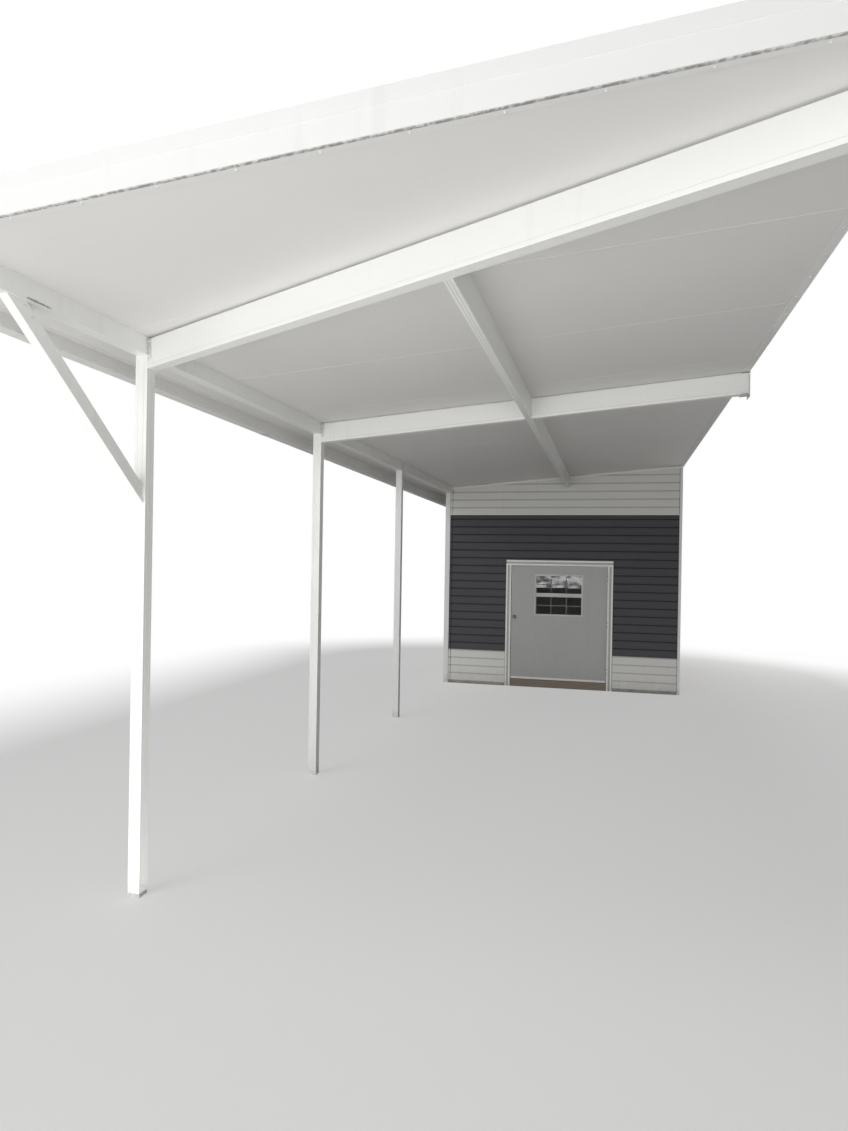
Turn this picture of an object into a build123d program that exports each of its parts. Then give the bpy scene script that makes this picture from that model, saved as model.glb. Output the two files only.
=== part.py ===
from build123d import *
from math import atan, cos, hypot, radians, sin, tan
import os

# An attached carport whose rear end is closed by a storage room. All sizes in millimetres.
# X runs from the eave (-) to the house side (+), Y from the open front (-) to the rear (+), Z up.
# The origin is the middle of the plan, on the ground where it is lowest.

os.makedirs("parts", exist_ok=True)

INCH = 25.4
FOOT = 12 * INCH

# Roof plane
SPAN = 12 * FOOT  # eave beam's inner face to the house
OVERHANG = 400  # eave beam's inner face to the panels' low ends
PITCH = 1 / 12  # rise over run, up to the house
CEILING_Z = 3240  # underside of the panels above the eave beam's inner face

# Roof panels, laid side by side from front to rear
PANEL_COUNT = 10
PANEL_WIDTH = 4 * FOOT
PANEL_T = 4 * INCH
SEAM_GAP = 0.3
SEAM_BEVEL = 3
TONGUE_LOW = 36
TONGUE_HEIGHT = 28
TONGUE_DEPTH = 12
TONGUE_TAPER = 5
LOCK_WIDTH = 10
LOCK_HEIGHT = 22
SKIN_T = 2.5

# Edge channels and trims
SHEET_T = 4
CHANNEL_LIP = 32
DRIP_DEPTH = 3
DRIP_HEIGHT = 5
TRIM_T = 2.5
TRIM_HEIGHT = 58
TRIM_TOP = 30
TRIM_REACH = 94
TRIM_FOOT = 28
TRIM_LAP = 4
EAVE_SKIRT = 66
LEDGER_LIP = 50
LEDGER_CAP = 70

# Gutter and downspout
GUTTER_WIDTH = 124
GUTTER_BASE = 90
GUTTER_HEIGHT = 120
GUTTER_T = 2
GUTTER_LIP = 14
GUTTER_DROP = 70  # its bottom below the soffit, at the front end
GUTTER_FALL = 94  # from the front end to the rear end
HANGER_COUNT = 12
HANGER_WIDTH = 22
HANGER_T = 3
SPOUT_DEPTH = 60
SPOUT_WIDTH = 80
SPOUT_T = 2
SPOUT_FROM_CORNER = 269  # downspout's middle from the room's rear corner
SPOUT_STUB = 60
SPOUT_RISE = 3
SPOUT_END_Z = 70
SPOUT_KICK = 110
STRAP_WIDTH = 30
STRAP_T = 2
STRAP_EAR = 22
STRAP_HEIGHTS = (450, 1500, 2450)

# Posts, brace and beams
POST_SIZE = 3 * INCH
POST_WALL = 3.5
POST_FOOT_T = 6
GROOVE_WIDTH = 5
GROOVE_DEPTH = 1.5
GROOVE_OFFSET = 18
TUBE_WALL = 3
POST_SETBACK = 1409  # roof's front edge to the front post's face
POST_SPACING_FRONT = 2651
POST_SPACING_REAR = 2709
EAVE_BEAM_DEPTH = 102
EAVE_BEAM_SETBACK = 30
BEAM_DEPTH = 7 * INCH
BEAM_WIDTH = 3 * INCH
BEAM_NECK_WIDTH = 30
BEAM_NECK_HEIGHT = 12  # the reveal between beam and ceiling
BEAM_LIP_HEIGHT = 26
BEAM_LIP_DEPTH = 4
FRONT_BEAM_ADVANCE = 1240  # how far it runs forward on its way to the house
PURLIN_WIDTH = 50
PURLIN_EDGE = 1920  # eave beam's inner face to the purlin's far face
BRACE_WIDTH = 50
BRACE_DEPTH = 3 * INCH
BRACE_ANGLE = radians(40)
BRACE_DROP = 960  # ceiling to the brace's lowest corner on the post
PLATE_T = 4
PLATE_MARGIN = 26
HANGER_SEAT = 60
CLIP_T = 3
CLIP_LEG = 28  # along the cross beam
CLIP_FLANGE = 18  # along the eave beam
CLIP_HEIGHT = 118
TIE_WIDTH = 70
TIE_LAP = 100  # down the rear post
TIE_GAP = 6  # under the ceiling

# Storage room
REAR_OVERHANG = 151
ROOM_DEPTH = 2240
WALL_T = 100
PARTY_GAP = 20  # party wall's outer face to the house plane
FLOOR_Z = 120
TRIM_PROUD = 19
CORNER_WIDTH = 80
CORNER_RETURN = 70
END_TRIM_WIDTH = 40

# Doorway and door
DOOR_FROM_EAVE = 1014  # eave beam's inner face to the clear opening
OPENING_WIDTH = 5 * FOOT
LEAF_HEIGHT = 6 * FOOT
LEAF_T = 45
DOOR_GAP = 7
STOP_GAP = 6
CASING_WIDTH = 82
CASING_T = 22
CASING_GROOVE = 32
CASING_GROOVE_DEPTH = 10
JAMB_T = 32
STOP_WIDTH = 12
STOP_DEPTH = 14
LEAF_RECESS = 10  # leaf's face behind the casing's face
SILL_PROUD = 8
SILL_T = 48
SILL_GAP = 4
LITE_WIDTH = 766
LITE_HEIGHT = 669
LITE_FROM_HINGE = 370
LITE_FROM_TOP = 131
LITE_BAR = 20
LITE_LAP = 12
LITE_PROUD = 10
MEETING_RAIL = 46
GLASS_T = 6
GLASS_STAGGER = 9
HINGE_COUNT = 3
HINGE_MARGIN = 180
KNUCKLE_R = 6
KNUCKLE_LENGTH = 30
KNUCKLE_GAP = 0.5
PIN_R = 3
PIN_CLEARANCE = 0.05
HINGE_LEAF_WIDTH = 24
HINGE_LEAF_T = 3
KNOB_FROM_EDGE = 50
KNOB_FROM_BOTTOM = 1003
ROSE_R = 33
ROSE_T = 8
NECK_R = 11
NECK_LENGTH = 26
KNOB_R = 27
KNOB_LENGTH = 34
KNOB_FACE_R = 14
KNOB_CROWN = 0.6  # where along its length the grip is widest

# Places that follow from the sizes above
ROOF_LENGTH = PANEL_COUNT * PANEL_WIDTH
ROOF_FRONT = -ROOF_LENGTH / 2
ROOF_REAR = ROOF_LENGTH / 2
TOTAL_WIDTH = SPAN + OVERHANG + SHEET_T + GUTTER_WIDTH
HOUSE_X = TOTAL_WIDTH / 2
EAVE_X = HOUSE_X - SPAN
PANEL_END_X = EAVE_X - OVERHANG
SLOPE = atan(PITCH)
UPHILL = Vector(cos(SLOPE), 0, sin(SLOPE))
ROOF_NORMAL = Vector(-sin(SLOPE), 0, cos(SLOPE))
SEAM_TOP = PANEL_T + LOCK_HEIGHT + SEAM_GAP + SKIN_T
POST_TOP = CEILING_Z - EAVE_BEAM_DEPTH
POST_Y = ROOF_FRONT + POST_SETBACK + POST_SIZE / 2
MIDDLE_Y = POST_Y + POST_SPACING_FRONT
REAR_Y = MIDDLE_Y + POST_SPACING_REAR
ROOM_REAR_Y = ROOF_REAR - REAR_OVERHANG
WALL_Y = ROOM_REAR_Y - ROOM_DEPTH
ROOM_LEFT_X = EAVE_X - POST_SIZE
ROOM_RIGHT_X = HOUSE_X - PARTY_GAP
CLEAR_LEFT_X = EAVE_X + DOOR_FROM_EAVE
CLEAR_RIGHT_X = CLEAR_LEFT_X + OPENING_WIDTH
CLEAR_TOP_Z = FLOOR_Z + LEAF_HEIGHT + 2 * DOOR_GAP
LEAF_WIDTH = OPENING_WIDTH - 2 * DOOR_GAP
LEAF_Y = WALL_Y - CASING_T + LEAF_RECESS
LEAF_X = CLEAR_RIGHT_X - DOOR_GAP
LEAF_Z = FLOOR_Z + DOOR_GAP
HINGE_X = CLEAR_RIGHT_X - DOOR_GAP / 2
HINGE_Y = WALL_Y - CASING_T - KNUCKLE_R - KNUCKLE_GAP


def save(piece, name):
    """Labels a finished piece and writes its file."""
    piece.label = name
    export_step(piece, f"parts/{name}.step")


def on_roof(x, height=0.0):
    """The (x, z) point at a height square to the ceiling plane, plumb over x."""
    return x, CEILING_Z + (x - EAVE_X) * PITCH + height / cos(SLOPE)


def across(y):
    """The upright plane at y that faces the front: its axes are X and Z."""
    return Plane(origin=(0, y, 0), x_dir=(1, 0, 0), z_dir=(0, -1, 0))


def along_slope(x, y):
    """The plane square to the slope on the ceiling: its axes are Y and the roof's normal."""
    x, z = on_roof(x)
    return Plane(origin=(x, y, z), x_dir=(0, 1, 0), z_dir=UPHILL)


def slope_run(profile, x_low, x_high, y):
    """A profile drawn up the slope, with plumb cuts at both ends."""
    margin = PANEL_T
    with BuildPart() as run:
        with BuildSketch(along_slope(x_low - margin, y)):
            Polygon(profile)
        extrude(amount=(x_high - x_low + 2 * margin) / cos(SLOPE))
        split(bisect_by=Plane.YZ.offset(x_low), keep=Keep.TOP)
        split(bisect_by=Plane.YZ.offset(x_high), keep=Keep.BOTTOM)
    return run.part


def level_run(profile, y_front, y_rear):
    """A profile in X and Z drawn level from front to rear."""
    with BuildPart() as run:
        with BuildSketch(across(y_rear)):
            Polygon(profile)
        extrude(amount=y_rear - y_front)
    return run.part


# Roof panels
def panel_profile(is_first, is_last):
    """A sandwich panel's section: tongue and groove, with a snap seam that stands on top."""
    left, right = 0, PANEL_WIDTH - SEAM_GAP
    if is_last:
        points = [(PANEL_WIDTH, 0), (PANEL_WIDTH, PANEL_T)]
    else:
        hook = PANEL_WIDTH + LOCK_WIDTH + SEAM_GAP
        crown = PANEL_T + LOCK_HEIGHT + SEAM_GAP
        points = [
            (right - SEAM_BEVEL, 0),
            (right, SEAM_BEVEL),
            (right, TONGUE_LOW),
            (right + TONGUE_DEPTH, TONGUE_LOW + TONGUE_TAPER),
            (right + TONGUE_DEPTH, TONGUE_LOW + TONGUE_HEIGHT - TONGUE_TAPER),
            (right, TONGUE_LOW + TONGUE_HEIGHT),
            (right, crown),
            (hook, crown),
            (hook, PANEL_T + SEAM_GAP),
            (hook + SKIN_T, PANEL_T + SEAM_GAP),
            (hook + SKIN_T, SEAM_TOP),
            (right - SKIN_T, SEAM_TOP),
            (right - SKIN_T, PANEL_T),
        ]
    if is_first:
        return points + [(left, PANEL_T), (left, 0)]
    groove_low = TONGUE_LOW - SEAM_GAP
    groove_high = TONGUE_LOW + TONGUE_HEIGHT + SEAM_GAP
    return points + [
        (left + LOCK_WIDTH, PANEL_T),
        (left + LOCK_WIDTH, PANEL_T + LOCK_HEIGHT),
        (left, PANEL_T + LOCK_HEIGHT),
        (left, groove_high),
        (left + TONGUE_DEPTH, groove_high - TONGUE_TAPER),
        (left + TONGUE_DEPTH, groove_low + TONGUE_TAPER),
        (left, groove_low),
        (left, SEAM_BEVEL),
        (left + SEAM_BEVEL, 0),
    ]


def make_roof_panels():
    for index in range(PANEL_COUNT):
        profile = panel_profile(index == 0, index == PANEL_COUNT - 1)
        y = ROOF_FRONT + index * PANEL_WIDTH
        panel = slope_run(profile, PANEL_END_X, HOUSE_X - SHEET_T, y)
        save(panel, f"roof_panel_{index + 1:02d}")


# Edge channels and trims
def facing(points, side):
    """Turns a profile of the front edge round for the rear edge where side is -1."""
    return [(side * u, v) for u, v in points]


def fascia_profile():
    """A channel that wraps the edge of the end panel, with a drip at its foot."""
    return [
        (-SHEET_T - DRIP_DEPTH, -SHEET_T),
        (CHANNEL_LIP, -SHEET_T),
        (CHANNEL_LIP, 0),
        (0, 0),
        (0, PANEL_T),
        (CHANNEL_LIP, PANEL_T),
        (CHANNEL_LIP, PANEL_T + SHEET_T),
        (-SHEET_T, PANEL_T + SHEET_T),
        (-SHEET_T, DRIP_HEIGHT),
        (-SHEET_T - DRIP_DEPTH, DRIP_HEIGHT - DRIP_DEPTH),
    ]


def edge_trim_profile():
    """A raised edge over the channel: face, top, sloping back and a foot on the panel."""
    face = -SHEET_T - TRIM_T
    top = PANEL_T + TRIM_HEIGHT
    heel = TRIM_REACH - TRIM_FOOT
    return [
        (face, PANEL_T - TRIM_LAP),
        (face, top),
        (TRIM_TOP, top),
        (heel, PANEL_T + TRIM_T),
        (TRIM_REACH, PANEL_T + TRIM_T),
        (TRIM_REACH, PANEL_T),
        (heel - TRIM_T / 2, PANEL_T),
        (TRIM_TOP - TRIM_T / 2, top - TRIM_T),
        (-SHEET_T, top - TRIM_T),
        (-SHEET_T, PANEL_T - TRIM_LAP),
    ]


def make_edges():
    low, high = PANEL_END_X - SHEET_T, HOUSE_X
    save(slope_run(facing(fascia_profile(), 1), low, high, ROOF_FRONT), "front_fascia")
    save(slope_run(facing(fascia_profile(), -1), low, high, ROOF_REAR), "rear_fascia")
    with BuildPart() as trims:
        add(slope_run(facing(edge_trim_profile(), 1), low, high, ROOF_FRONT))
        add(slope_run(facing(edge_trim_profile(), -1), low, high, ROOF_REAR))
    save(trims.part, "edge_trims")


def make_eave_fascia():
    outer, inner = PANEL_END_X - SHEET_T, PANEL_END_X
    web = [on_roof(outer), on_roof(inner), on_roof(inner, PANEL_T), on_roof(outer, PANEL_T)]
    skirt_z = on_roof(inner)[1] - EAVE_SKIRT
    skirt = [
        (outer, skirt_z),
        (inner, skirt_z),
        on_roof(inner, -SHEET_T),
        on_roof(inner + CHANNEL_LIP, -SHEET_T),
        on_roof(inner + CHANNEL_LIP),
        on_roof(outer),
    ]
    with BuildPart() as fascia:
        add(level_run(web, ROOF_FRONT, ROOF_REAR))
        add(level_run(skirt, ROOF_FRONT + CHANNEL_LIP, ROOF_REAR - CHANNEL_LIP))
    save(fascia.part, "eave_fascia")


def make_ledger_channel():
    outer, inner = HOUSE_X, HOUSE_X - SHEET_T
    web = [on_roof(inner), on_roof(outer), on_roof(outer, PANEL_T), on_roof(inner, PANEL_T)]
    channel = [
        on_roof(outer, -SHEET_T),
        on_roof(outer, SEAM_TOP + SHEET_T),
        on_roof(outer - LEDGER_CAP, SEAM_TOP + SHEET_T),
        on_roof(outer - LEDGER_CAP, SEAM_TOP),
        on_roof(inner, SEAM_TOP),
        on_roof(inner),
        on_roof(inner - LEDGER_LIP),
        on_roof(inner - LEDGER_LIP, -SHEET_T),
    ]
    with BuildPart() as ledger:
        add(level_run(web, ROOF_FRONT, ROOF_REAR))
        add(level_run(channel, ROOF_FRONT + TRIM_REACH, ROOF_REAR - TRIM_REACH))
    save(ledger.part, "ledger_channel")


# Gutter and downspout
def gutter_bottom(y):
    """Height of the gutter's underside at y: it falls evenly from front to rear."""
    start = on_roof(PANEL_END_X)[1] - GUTTER_DROP
    return start - GUTTER_FALL * (y - ROOF_FRONT) / ROOF_LENGTH


def gutter_path():
    """The gutter's outer line: back, base, and a face that swells towards its lip."""
    mouth = GUTTER_WIDTH
    return [
        (0, GUTTER_HEIGHT),
        (0, 0),
        (-GUTTER_BASE, 0),
        (-GUTTER_BASE - 3, 26),
        (-GUTTER_BASE - 13, 44),
        (-mouth + 6, 62),
        (-mouth, 76),
        (-mouth, GUTTER_HEIGHT - 4),
        (-mouth + GUTTER_LIP, GUTTER_HEIGHT - 4),
    ]


def gutter_plane(y):
    """The upright plane at y whose origin is the gutter's lower back corner."""
    back = PANEL_END_X - SHEET_T
    return Plane(origin=(back, y, gutter_bottom(y)), x_dir=(1, 0, 0), z_dir=(0, -1, 0))


def make_gutter():
    rear = ROOF_REAR + SHEET_T + TRIM_T
    front = ROOF_FRONT - SHEET_T - TRIM_T
    spout_x = -GUTTER_BASE / 2
    hole = (SPOUT_DEPTH + 2 * SEAM_GAP, SPOUT_WIDTH + 2 * SEAM_GAP)
    with BuildPart() as gutter:
        with BuildSketch(gutter_plane(rear)):
            with BuildLine():
                Polyline(*gutter_path())
                offset(amount=GUTTER_T, side=Side.LEFT, kind=Kind.INTERSECTION)
            make_face()
        rise = gutter_bottom(front) - gutter_bottom(rear)
        extrude(amount=hypot(rear - front, rise), dir=(0, front - rear, rise))
        for end in (rear, front + GUTTER_T):
            with BuildSketch(gutter_plane(end)):
                Polygon(gutter_path())
            extrude(amount=GUTTER_T)
        with BuildSketch(Plane.XY.offset(gutter_bottom(rear) - GUTTER_T)):
            with Locations((PANEL_END_X - SHEET_T + spout_x, ROOM_REAR_Y - SPOUT_FROM_CORNER)):
                Rectangle(*hole)
        extrude(amount=4 * GUTTER_T + SPOUT_RISE, mode=Mode.SUBTRACT)
    save(gutter.part, "gutter")


def strap_section(x, y, z):
    """One downspout strap at a height: it wraps the pipe, with an ear on the wall each side."""
    half, reach = SPOUT_WIDTH / 2, SPOUT_DEPTH
    with BuildPart() as strap:
        with BuildSketch(Plane.XY.offset(z)):
            Polygon([
                (x, y - half - STRAP_EAR),
                (x, y - half),
                (x - reach, y - half),
                (x - reach, y + half),
                (x, y + half),
                (x, y + half + STRAP_EAR),
                (x - STRAP_T, y + half + STRAP_EAR),
                (x - STRAP_T, y + half + STRAP_T),
                (x - reach - STRAP_T, y + half + STRAP_T),
                (x - reach - STRAP_T, y - half - STRAP_T),
                (x - STRAP_T, y - half - STRAP_T),
                (x - STRAP_T, y - half - STRAP_EAR),
            ])
        extrude(amount=STRAP_WIDTH)
    return strap.part


def make_downspout():
    y = ROOM_REAR_Y - SPOUT_FROM_CORNER
    top_x, top_z = PANEL_END_X - SHEET_T - GUTTER_BASE / 2, gutter_bottom(y) + SPOUT_RISE
    wall_x = ROOM_LEFT_X - TRIM_PROUD
    pipe_x = wall_x - SPOUT_DEPTH / 2
    elbow_z = gutter_bottom(y) - SPOUT_STUB
    with BuildPart() as spout:
        with BuildLine() as route:
            Polyline(
                (top_x, y, top_z),
                (top_x, y, elbow_z),
                (pipe_x, y, elbow_z - (pipe_x - top_x)),
                (pipe_x, y, SPOUT_END_Z + SPOUT_KICK),
                (pipe_x - SPOUT_KICK, y, SPOUT_END_Z),
            )
        with BuildSketch(Plane(origin=(top_x, y, top_z), x_dir=(1, 0, 0), z_dir=(0, 0, -1))):
            Rectangle(SPOUT_DEPTH, SPOUT_WIDTH)
            Rectangle(SPOUT_DEPTH - 2 * SPOUT_T, SPOUT_WIDTH - 2 * SPOUT_T, mode=Mode.SUBTRACT)
        sweep(path=route.line, transition=Transition.RIGHT)
    save(spout.part, "downspout")
    return wall_x, y


def make_gutter_straps(wall_x, spout_y):
    """Hangers across the gutter's mouth, and straps that hold the downspout."""
    spacing = ROOF_LENGTH / HANGER_COUNT
    inner = GUTTER_WIDTH - 2 * GUTTER_T
    with BuildPart() as straps:
        for index in range(HANGER_COUNT):
            y = ROOF_FRONT + (index + 0.5) * spacing
            with BuildSketch(gutter_plane(y + HANGER_WIDTH / 2)):
                with Locations((-GUTTER_T - inner / 2, GUTTER_HEIGHT - 12)):
                    Rectangle(inner, HANGER_T)
            extrude(amount=HANGER_WIDTH)
        for z in STRAP_HEIGHTS:
            add(strap_section(wall_x, spout_y, z))
    save(straps.part, "gutter_straps")


# Posts, brace and beams
def grooved_square(size):
    """A square outline with two shallow grooves down each side."""
    half = size / 2
    side = [(-half, -half)]
    for middle in (-GROOVE_OFFSET, GROOVE_OFFSET):
        start, end = middle - GROOVE_WIDTH / 2, middle + GROOVE_WIDTH / 2
        floor = -half + GROOVE_DEPTH
        side += [(start, -half), (start, floor), (end, floor), (end, -half)]
    points = []
    for _ in range(4):
        points += side
        side = [(-y, x) for x, y in side]
    return points


def make_post(name, y):
    bore = POST_SIZE - 2 * POST_WALL
    x = EAVE_X - POST_SIZE / 2
    with BuildPart() as post:
        with BuildSketch(Plane(origin=(x, y, 0))):
            Polygon(grooved_square(POST_SIZE))
        extrude(amount=POST_TOP)
        with BuildSketch(Plane(origin=(x, y, POST_FOOT_T))):
            Rectangle(bore, bore)
        extrude(amount=POST_TOP - POST_FOOT_T, mode=Mode.SUBTRACT)
    save(post.part, name)


def make_eave_beam():
    outer, bottom = EAVE_X - POST_SIZE, CEILING_Z - EAVE_BEAM_DEPTH
    section = [(outer, bottom), (EAVE_X, bottom), on_roof(EAVE_X), on_roof(outer)]
    front = ROOF_FRONT + CHANNEL_LIP + EAVE_BEAM_SETBACK
    with BuildPart() as beam:
        add(level_run(section, front, WALL_Y))
        with BuildSketch(across(WALL_Y)):
            Polygon(section)
            offset(amount=-TUBE_WALL, kind=Kind.INTERSECTION, mode=Mode.REPLACE)
        extrude(amount=WALL_Y - front - TUBE_WALL, mode=Mode.SUBTRACT)
    save(beam.part, "eave_beam")


def beam_profile():
    """A cross beam's section under the ceiling: recessed neck, face and a bottom lip."""
    half, neck = BEAM_WIDTH / 2, BEAM_NECK_WIDTH / 2
    shoulder, lip = -BEAM_NECK_HEIGHT, -BEAM_DEPTH + BEAM_LIP_HEIGHT
    face = half - BEAM_LIP_DEPTH
    return [
        (-half, -BEAM_DEPTH),
        (half, -BEAM_DEPTH),
        (half, lip - BEAM_LIP_DEPTH),
        (face, lip),
        (face, shoulder),
        (neck, shoulder),
        (neck, 0),
        (-neck, 0),
        (-neck, shoulder),
        (-face, shoulder),
        (-face, lip),
        (-half, lip - BEAM_LIP_DEPTH),
    ]


def beam_plane(start, end, margin):
    """The plane square to a beam that hangs under the roof, a margin before its start."""
    way = (end - start).normalized()
    return Plane(origin=start - way * margin, x_dir=ROOF_NORMAL.cross(way), z_dir=way)


def ceiling_beam(start, end, x_low, x_high):
    """A hollow beam under the ceiling between two plumb cuts."""
    margin = BEAM_DEPTH
    length = (end - start).length + 2 * margin
    plane = beam_plane(start, end, margin)
    bore_width = BEAM_WIDTH - 2 * (BEAM_LIP_DEPTH + TUBE_WALL)
    bore_height = BEAM_DEPTH - BEAM_NECK_HEIGHT - 2 * TUBE_WALL
    with BuildPart() as beam:
        with BuildSketch(plane):
            Polygon(beam_profile())
            with Locations((0, -BEAM_DEPTH + TUBE_WALL + bore_height / 2)):
                Rectangle(bore_width, bore_height, mode=Mode.SUBTRACT)
        extrude(amount=length)
        split(bisect_by=Plane.YZ.offset(x_low), keep=Keep.TOP)
        split(bisect_by=Plane.YZ.offset(x_high), keep=Keep.BOTTOM)
        notch = HOUSE_X - SHEET_T - LEDGER_LIP - PLATE_T
        if x_high > notch:
            with BuildSketch(across(ROOF_REAR)):
                Polygon([
                    on_roof(notch, -BEAM_NECK_HEIGHT),
                    on_roof(HOUSE_X, -BEAM_NECK_HEIGHT),
                    on_roof(HOUSE_X, PANEL_T),
                    on_roof(notch, PANEL_T),
                ])
            extrude(amount=ROOF_LENGTH, mode=Mode.SUBTRACT)
    return beam.part


def ceiling_point(x, y):
    """The point of the ceiling plane over x and y."""
    x, z = on_roof(x)
    return Vector(x, y, z)


def make_cross_beams():
    end_x = HOUSE_X - PLATE_T
    purlin_left, purlin_right = EAVE_X + PURLIN_EDGE - PURLIN_WIDTH, EAVE_X + PURLIN_EDGE
    start = ceiling_point(EAVE_X, POST_Y)
    end = ceiling_point(HOUSE_X, POST_Y - FRONT_BEAM_ADVANCE)
    save(ceiling_beam(start, end, EAVE_X, end_x), "front_beam")
    middle_start, middle_end = ceiling_point(EAVE_X, MIDDLE_Y), ceiling_point(HOUSE_X, MIDDLE_Y)
    save(ceiling_beam(middle_start, middle_end, EAVE_X, purlin_left), "middle_beam_left")
    save(ceiling_beam(middle_start, middle_end, purlin_right, end_x), "middle_beam_right")


def make_purlin():
    """A narrow member down the middle of the roof, scribed to the skewed front beam."""
    right = EAVE_X + PURLIN_EDGE
    left = right - PURLIN_WIDTH
    bottom = on_roof((left + right) / 2, -BEAM_DEPTH)[1]
    section = [(left, bottom)]
    for middle in (left + PURLIN_WIDTH / 3, right - PURLIN_WIDTH / 3):
        start, end = middle - GROOVE_WIDTH / 2, middle + GROOVE_WIDTH / 2
        floor = bottom + 2 * GROOVE_DEPTH
        section += [(start, bottom), (start, floor), (end, floor), (end, bottom)]
    section += [(right, bottom), on_roof(right), on_roof(left)]
    start = ceiling_point(EAVE_X, POST_Y)
    end = ceiling_point(HOUSE_X, POST_Y - FRONT_BEAM_ADVANCE)
    side = ROOF_NORMAL.cross((end - start).normalized())
    scribe = Plane(origin=start + side * (BEAM_WIDTH / 2), z_dir=side)
    bore_bottom = bottom + 2 * GROOVE_DEPTH + TUBE_WALL
    with BuildPart() as purlin:
        with BuildSketch(across(WALL_Y)):
            Polygon(section)
        extrude(amount=WALL_Y - POST_Y + FRONT_BEAM_ADVANCE)
        with BuildSketch(across(WALL_Y - TUBE_WALL)):
            Polygon([
                (left + TUBE_WALL, bore_bottom),
                (right - TUBE_WALL, bore_bottom),
                on_roof(right - TUBE_WALL, -TUBE_WALL),
                on_roof(left + TUBE_WALL, -TUBE_WALL),
            ])
        extrude(amount=WALL_Y - POST_Y + FRONT_BEAM_ADVANCE, mode=Mode.SUBTRACT)
        split(bisect_by=scribe, keep=Keep.TOP)
    save(purlin.part, "purlin")


def make_knee_brace():
    """A tube from the front post up to the eave beam, in the plane of the posts."""
    face = POST_Y - POST_SIZE / 2
    foot = CEILING_Z - BRACE_DROP
    rise = POST_TOP - foot
    head = face - rise / tan(BRACE_ANGLE)
    long, tall = BRACE_DEPTH / sin(BRACE_ANGLE), BRACE_DEPTH / cos(BRACE_ANGLE)
    wall_long, wall_tall = TUBE_WALL / sin(BRACE_ANGLE), TUBE_WALL / cos(BRACE_ANGLE)
    middle = Plane.YZ.offset(EAVE_X - POST_SIZE / 2)
    with BuildPart() as brace:
        with BuildSketch(middle):
            Polygon([(face, foot), (head, POST_TOP), (head + long, POST_TOP), (face, foot + tall)])
        extrude(amount=BRACE_WIDTH / 2, both=True)
        with BuildSketch(middle):
            Polygon([
                (face, foot + wall_tall),
                (head + wall_long, POST_TOP),
                (head + long - wall_long, POST_TOP),
                (face, foot + tall - wall_tall),
            ])
        extrude(amount=BRACE_WIDTH / 2 - TUBE_WALL, both=True, mode=Mode.SUBTRACT)
    save(brace.part, "knee_brace")


def beam_hanger(y):
    """A plate on the house plane with a seat under a beam's end."""
    seat_x = HOUSE_X - PLATE_T - HANGER_SEAT
    profile = [
        on_roof(HOUSE_X, -BEAM_DEPTH - PLATE_T - PLATE_MARGIN),
        on_roof(HOUSE_X, -SHEET_T),
        on_roof(HOUSE_X - PLATE_T, -SHEET_T),
        on_roof(HOUSE_X - PLATE_T, -BEAM_DEPTH),
        on_roof(seat_x, -BEAM_DEPTH),
        on_roof(seat_x, -BEAM_DEPTH - PLATE_T),
        on_roof(HOUSE_X - PLATE_T, -BEAM_DEPTH - PLATE_T),
        on_roof(HOUSE_X - PLATE_T, -BEAM_DEPTH - PLATE_T - PLATE_MARGIN),
    ]
    half = BEAM_WIDTH / 2 + PLATE_MARGIN
    return level_run(profile, y - half, y + half)


def purlin_shoe():
    """A plate on the room's front wall with a seat under the purlin's rear end."""
    right = EAVE_X + PURLIN_EDGE
    left = right - PURLIN_WIDTH
    bottom = on_roof((left + right) / 2, -BEAM_DEPTH)[1]
    with BuildPart() as shoe:
        with BuildSketch(Plane.YZ.offset(left)):
            Polygon([
                (WALL_Y, bottom - PLATE_MARGIN),
                (WALL_Y, bottom),
                (WALL_Y - HANGER_SEAT, bottom),
                (WALL_Y - HANGER_SEAT, bottom - PLATE_T),
                (WALL_Y - PLATE_T, bottom - PLATE_T),
                (WALL_Y - PLATE_T, bottom - PLATE_MARGIN),
            ])
        extrude(amount=PURLIN_WIDTH)
    return shoe.part


def eave_mark(start, end, aside, drop):
    """The (y, z) point where a line along a cross beam's section point meets the eave beam."""
    way = (end - start).normalized()
    point = start + ROOF_NORMAL.cross(way) * aside - ROOF_NORMAL * drop
    point -= way * ((point.X - EAVE_X) / way.X)
    return point.Y, point.Z


def corner_clips(start, end):
    """Angles in both inner corners between a cross beam's end and the eave beam."""
    face = BEAM_WIDTH / 2 - BEAM_LIP_DEPTH
    heel, tip = face + CLIP_T / 2, face + CLIP_FLANGE
    top, foot = BEAM_NECK_HEIGHT, EAVE_BEAM_DEPTH - PLATE_T
    with BuildPart() as clips:
        with BuildSketch(beam_plane(start, end, BEAM_DEPTH)):
            with Locations(*[(side * (face + CLIP_T / 2), -top - CLIP_HEIGHT / 2) for side in (1, -1)]):
                Rectangle(CLIP_T, CLIP_HEIGHT)
        extrude(amount=2 * BEAM_DEPTH)
        split(bisect_by=Plane.YZ.offset(EAVE_X), keep=Keep.TOP)
        split(bisect_by=Plane.YZ.offset(EAVE_X + CLIP_LEG), keep=Keep.BOTTOM)
        for side in (1, -1):
            corners = ((heel, top), (tip, top), (tip, foot), (heel, foot))
            with BuildSketch(Plane.YZ.offset(EAVE_X)):
                Polygon([eave_mark(start, end, side * aside, drop) for aside, drop in corners])
            extrude(amount=CLIP_T)
    return clips.part


def post_tie():
    """A flat tie on the inner faces of the rear post and the eave beam over it."""
    low, high = POST_TOP - TIE_LAP, CEILING_Z - TIE_GAP
    with BuildPart() as tie:
        with BuildSketch(Plane.YZ.offset(EAVE_X)):
            with Locations((REAR_Y, (low + high) / 2)):
                Rectangle(TIE_WIDTH, high - low)
        extrude(amount=CLIP_T)
    return tie.part


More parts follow.
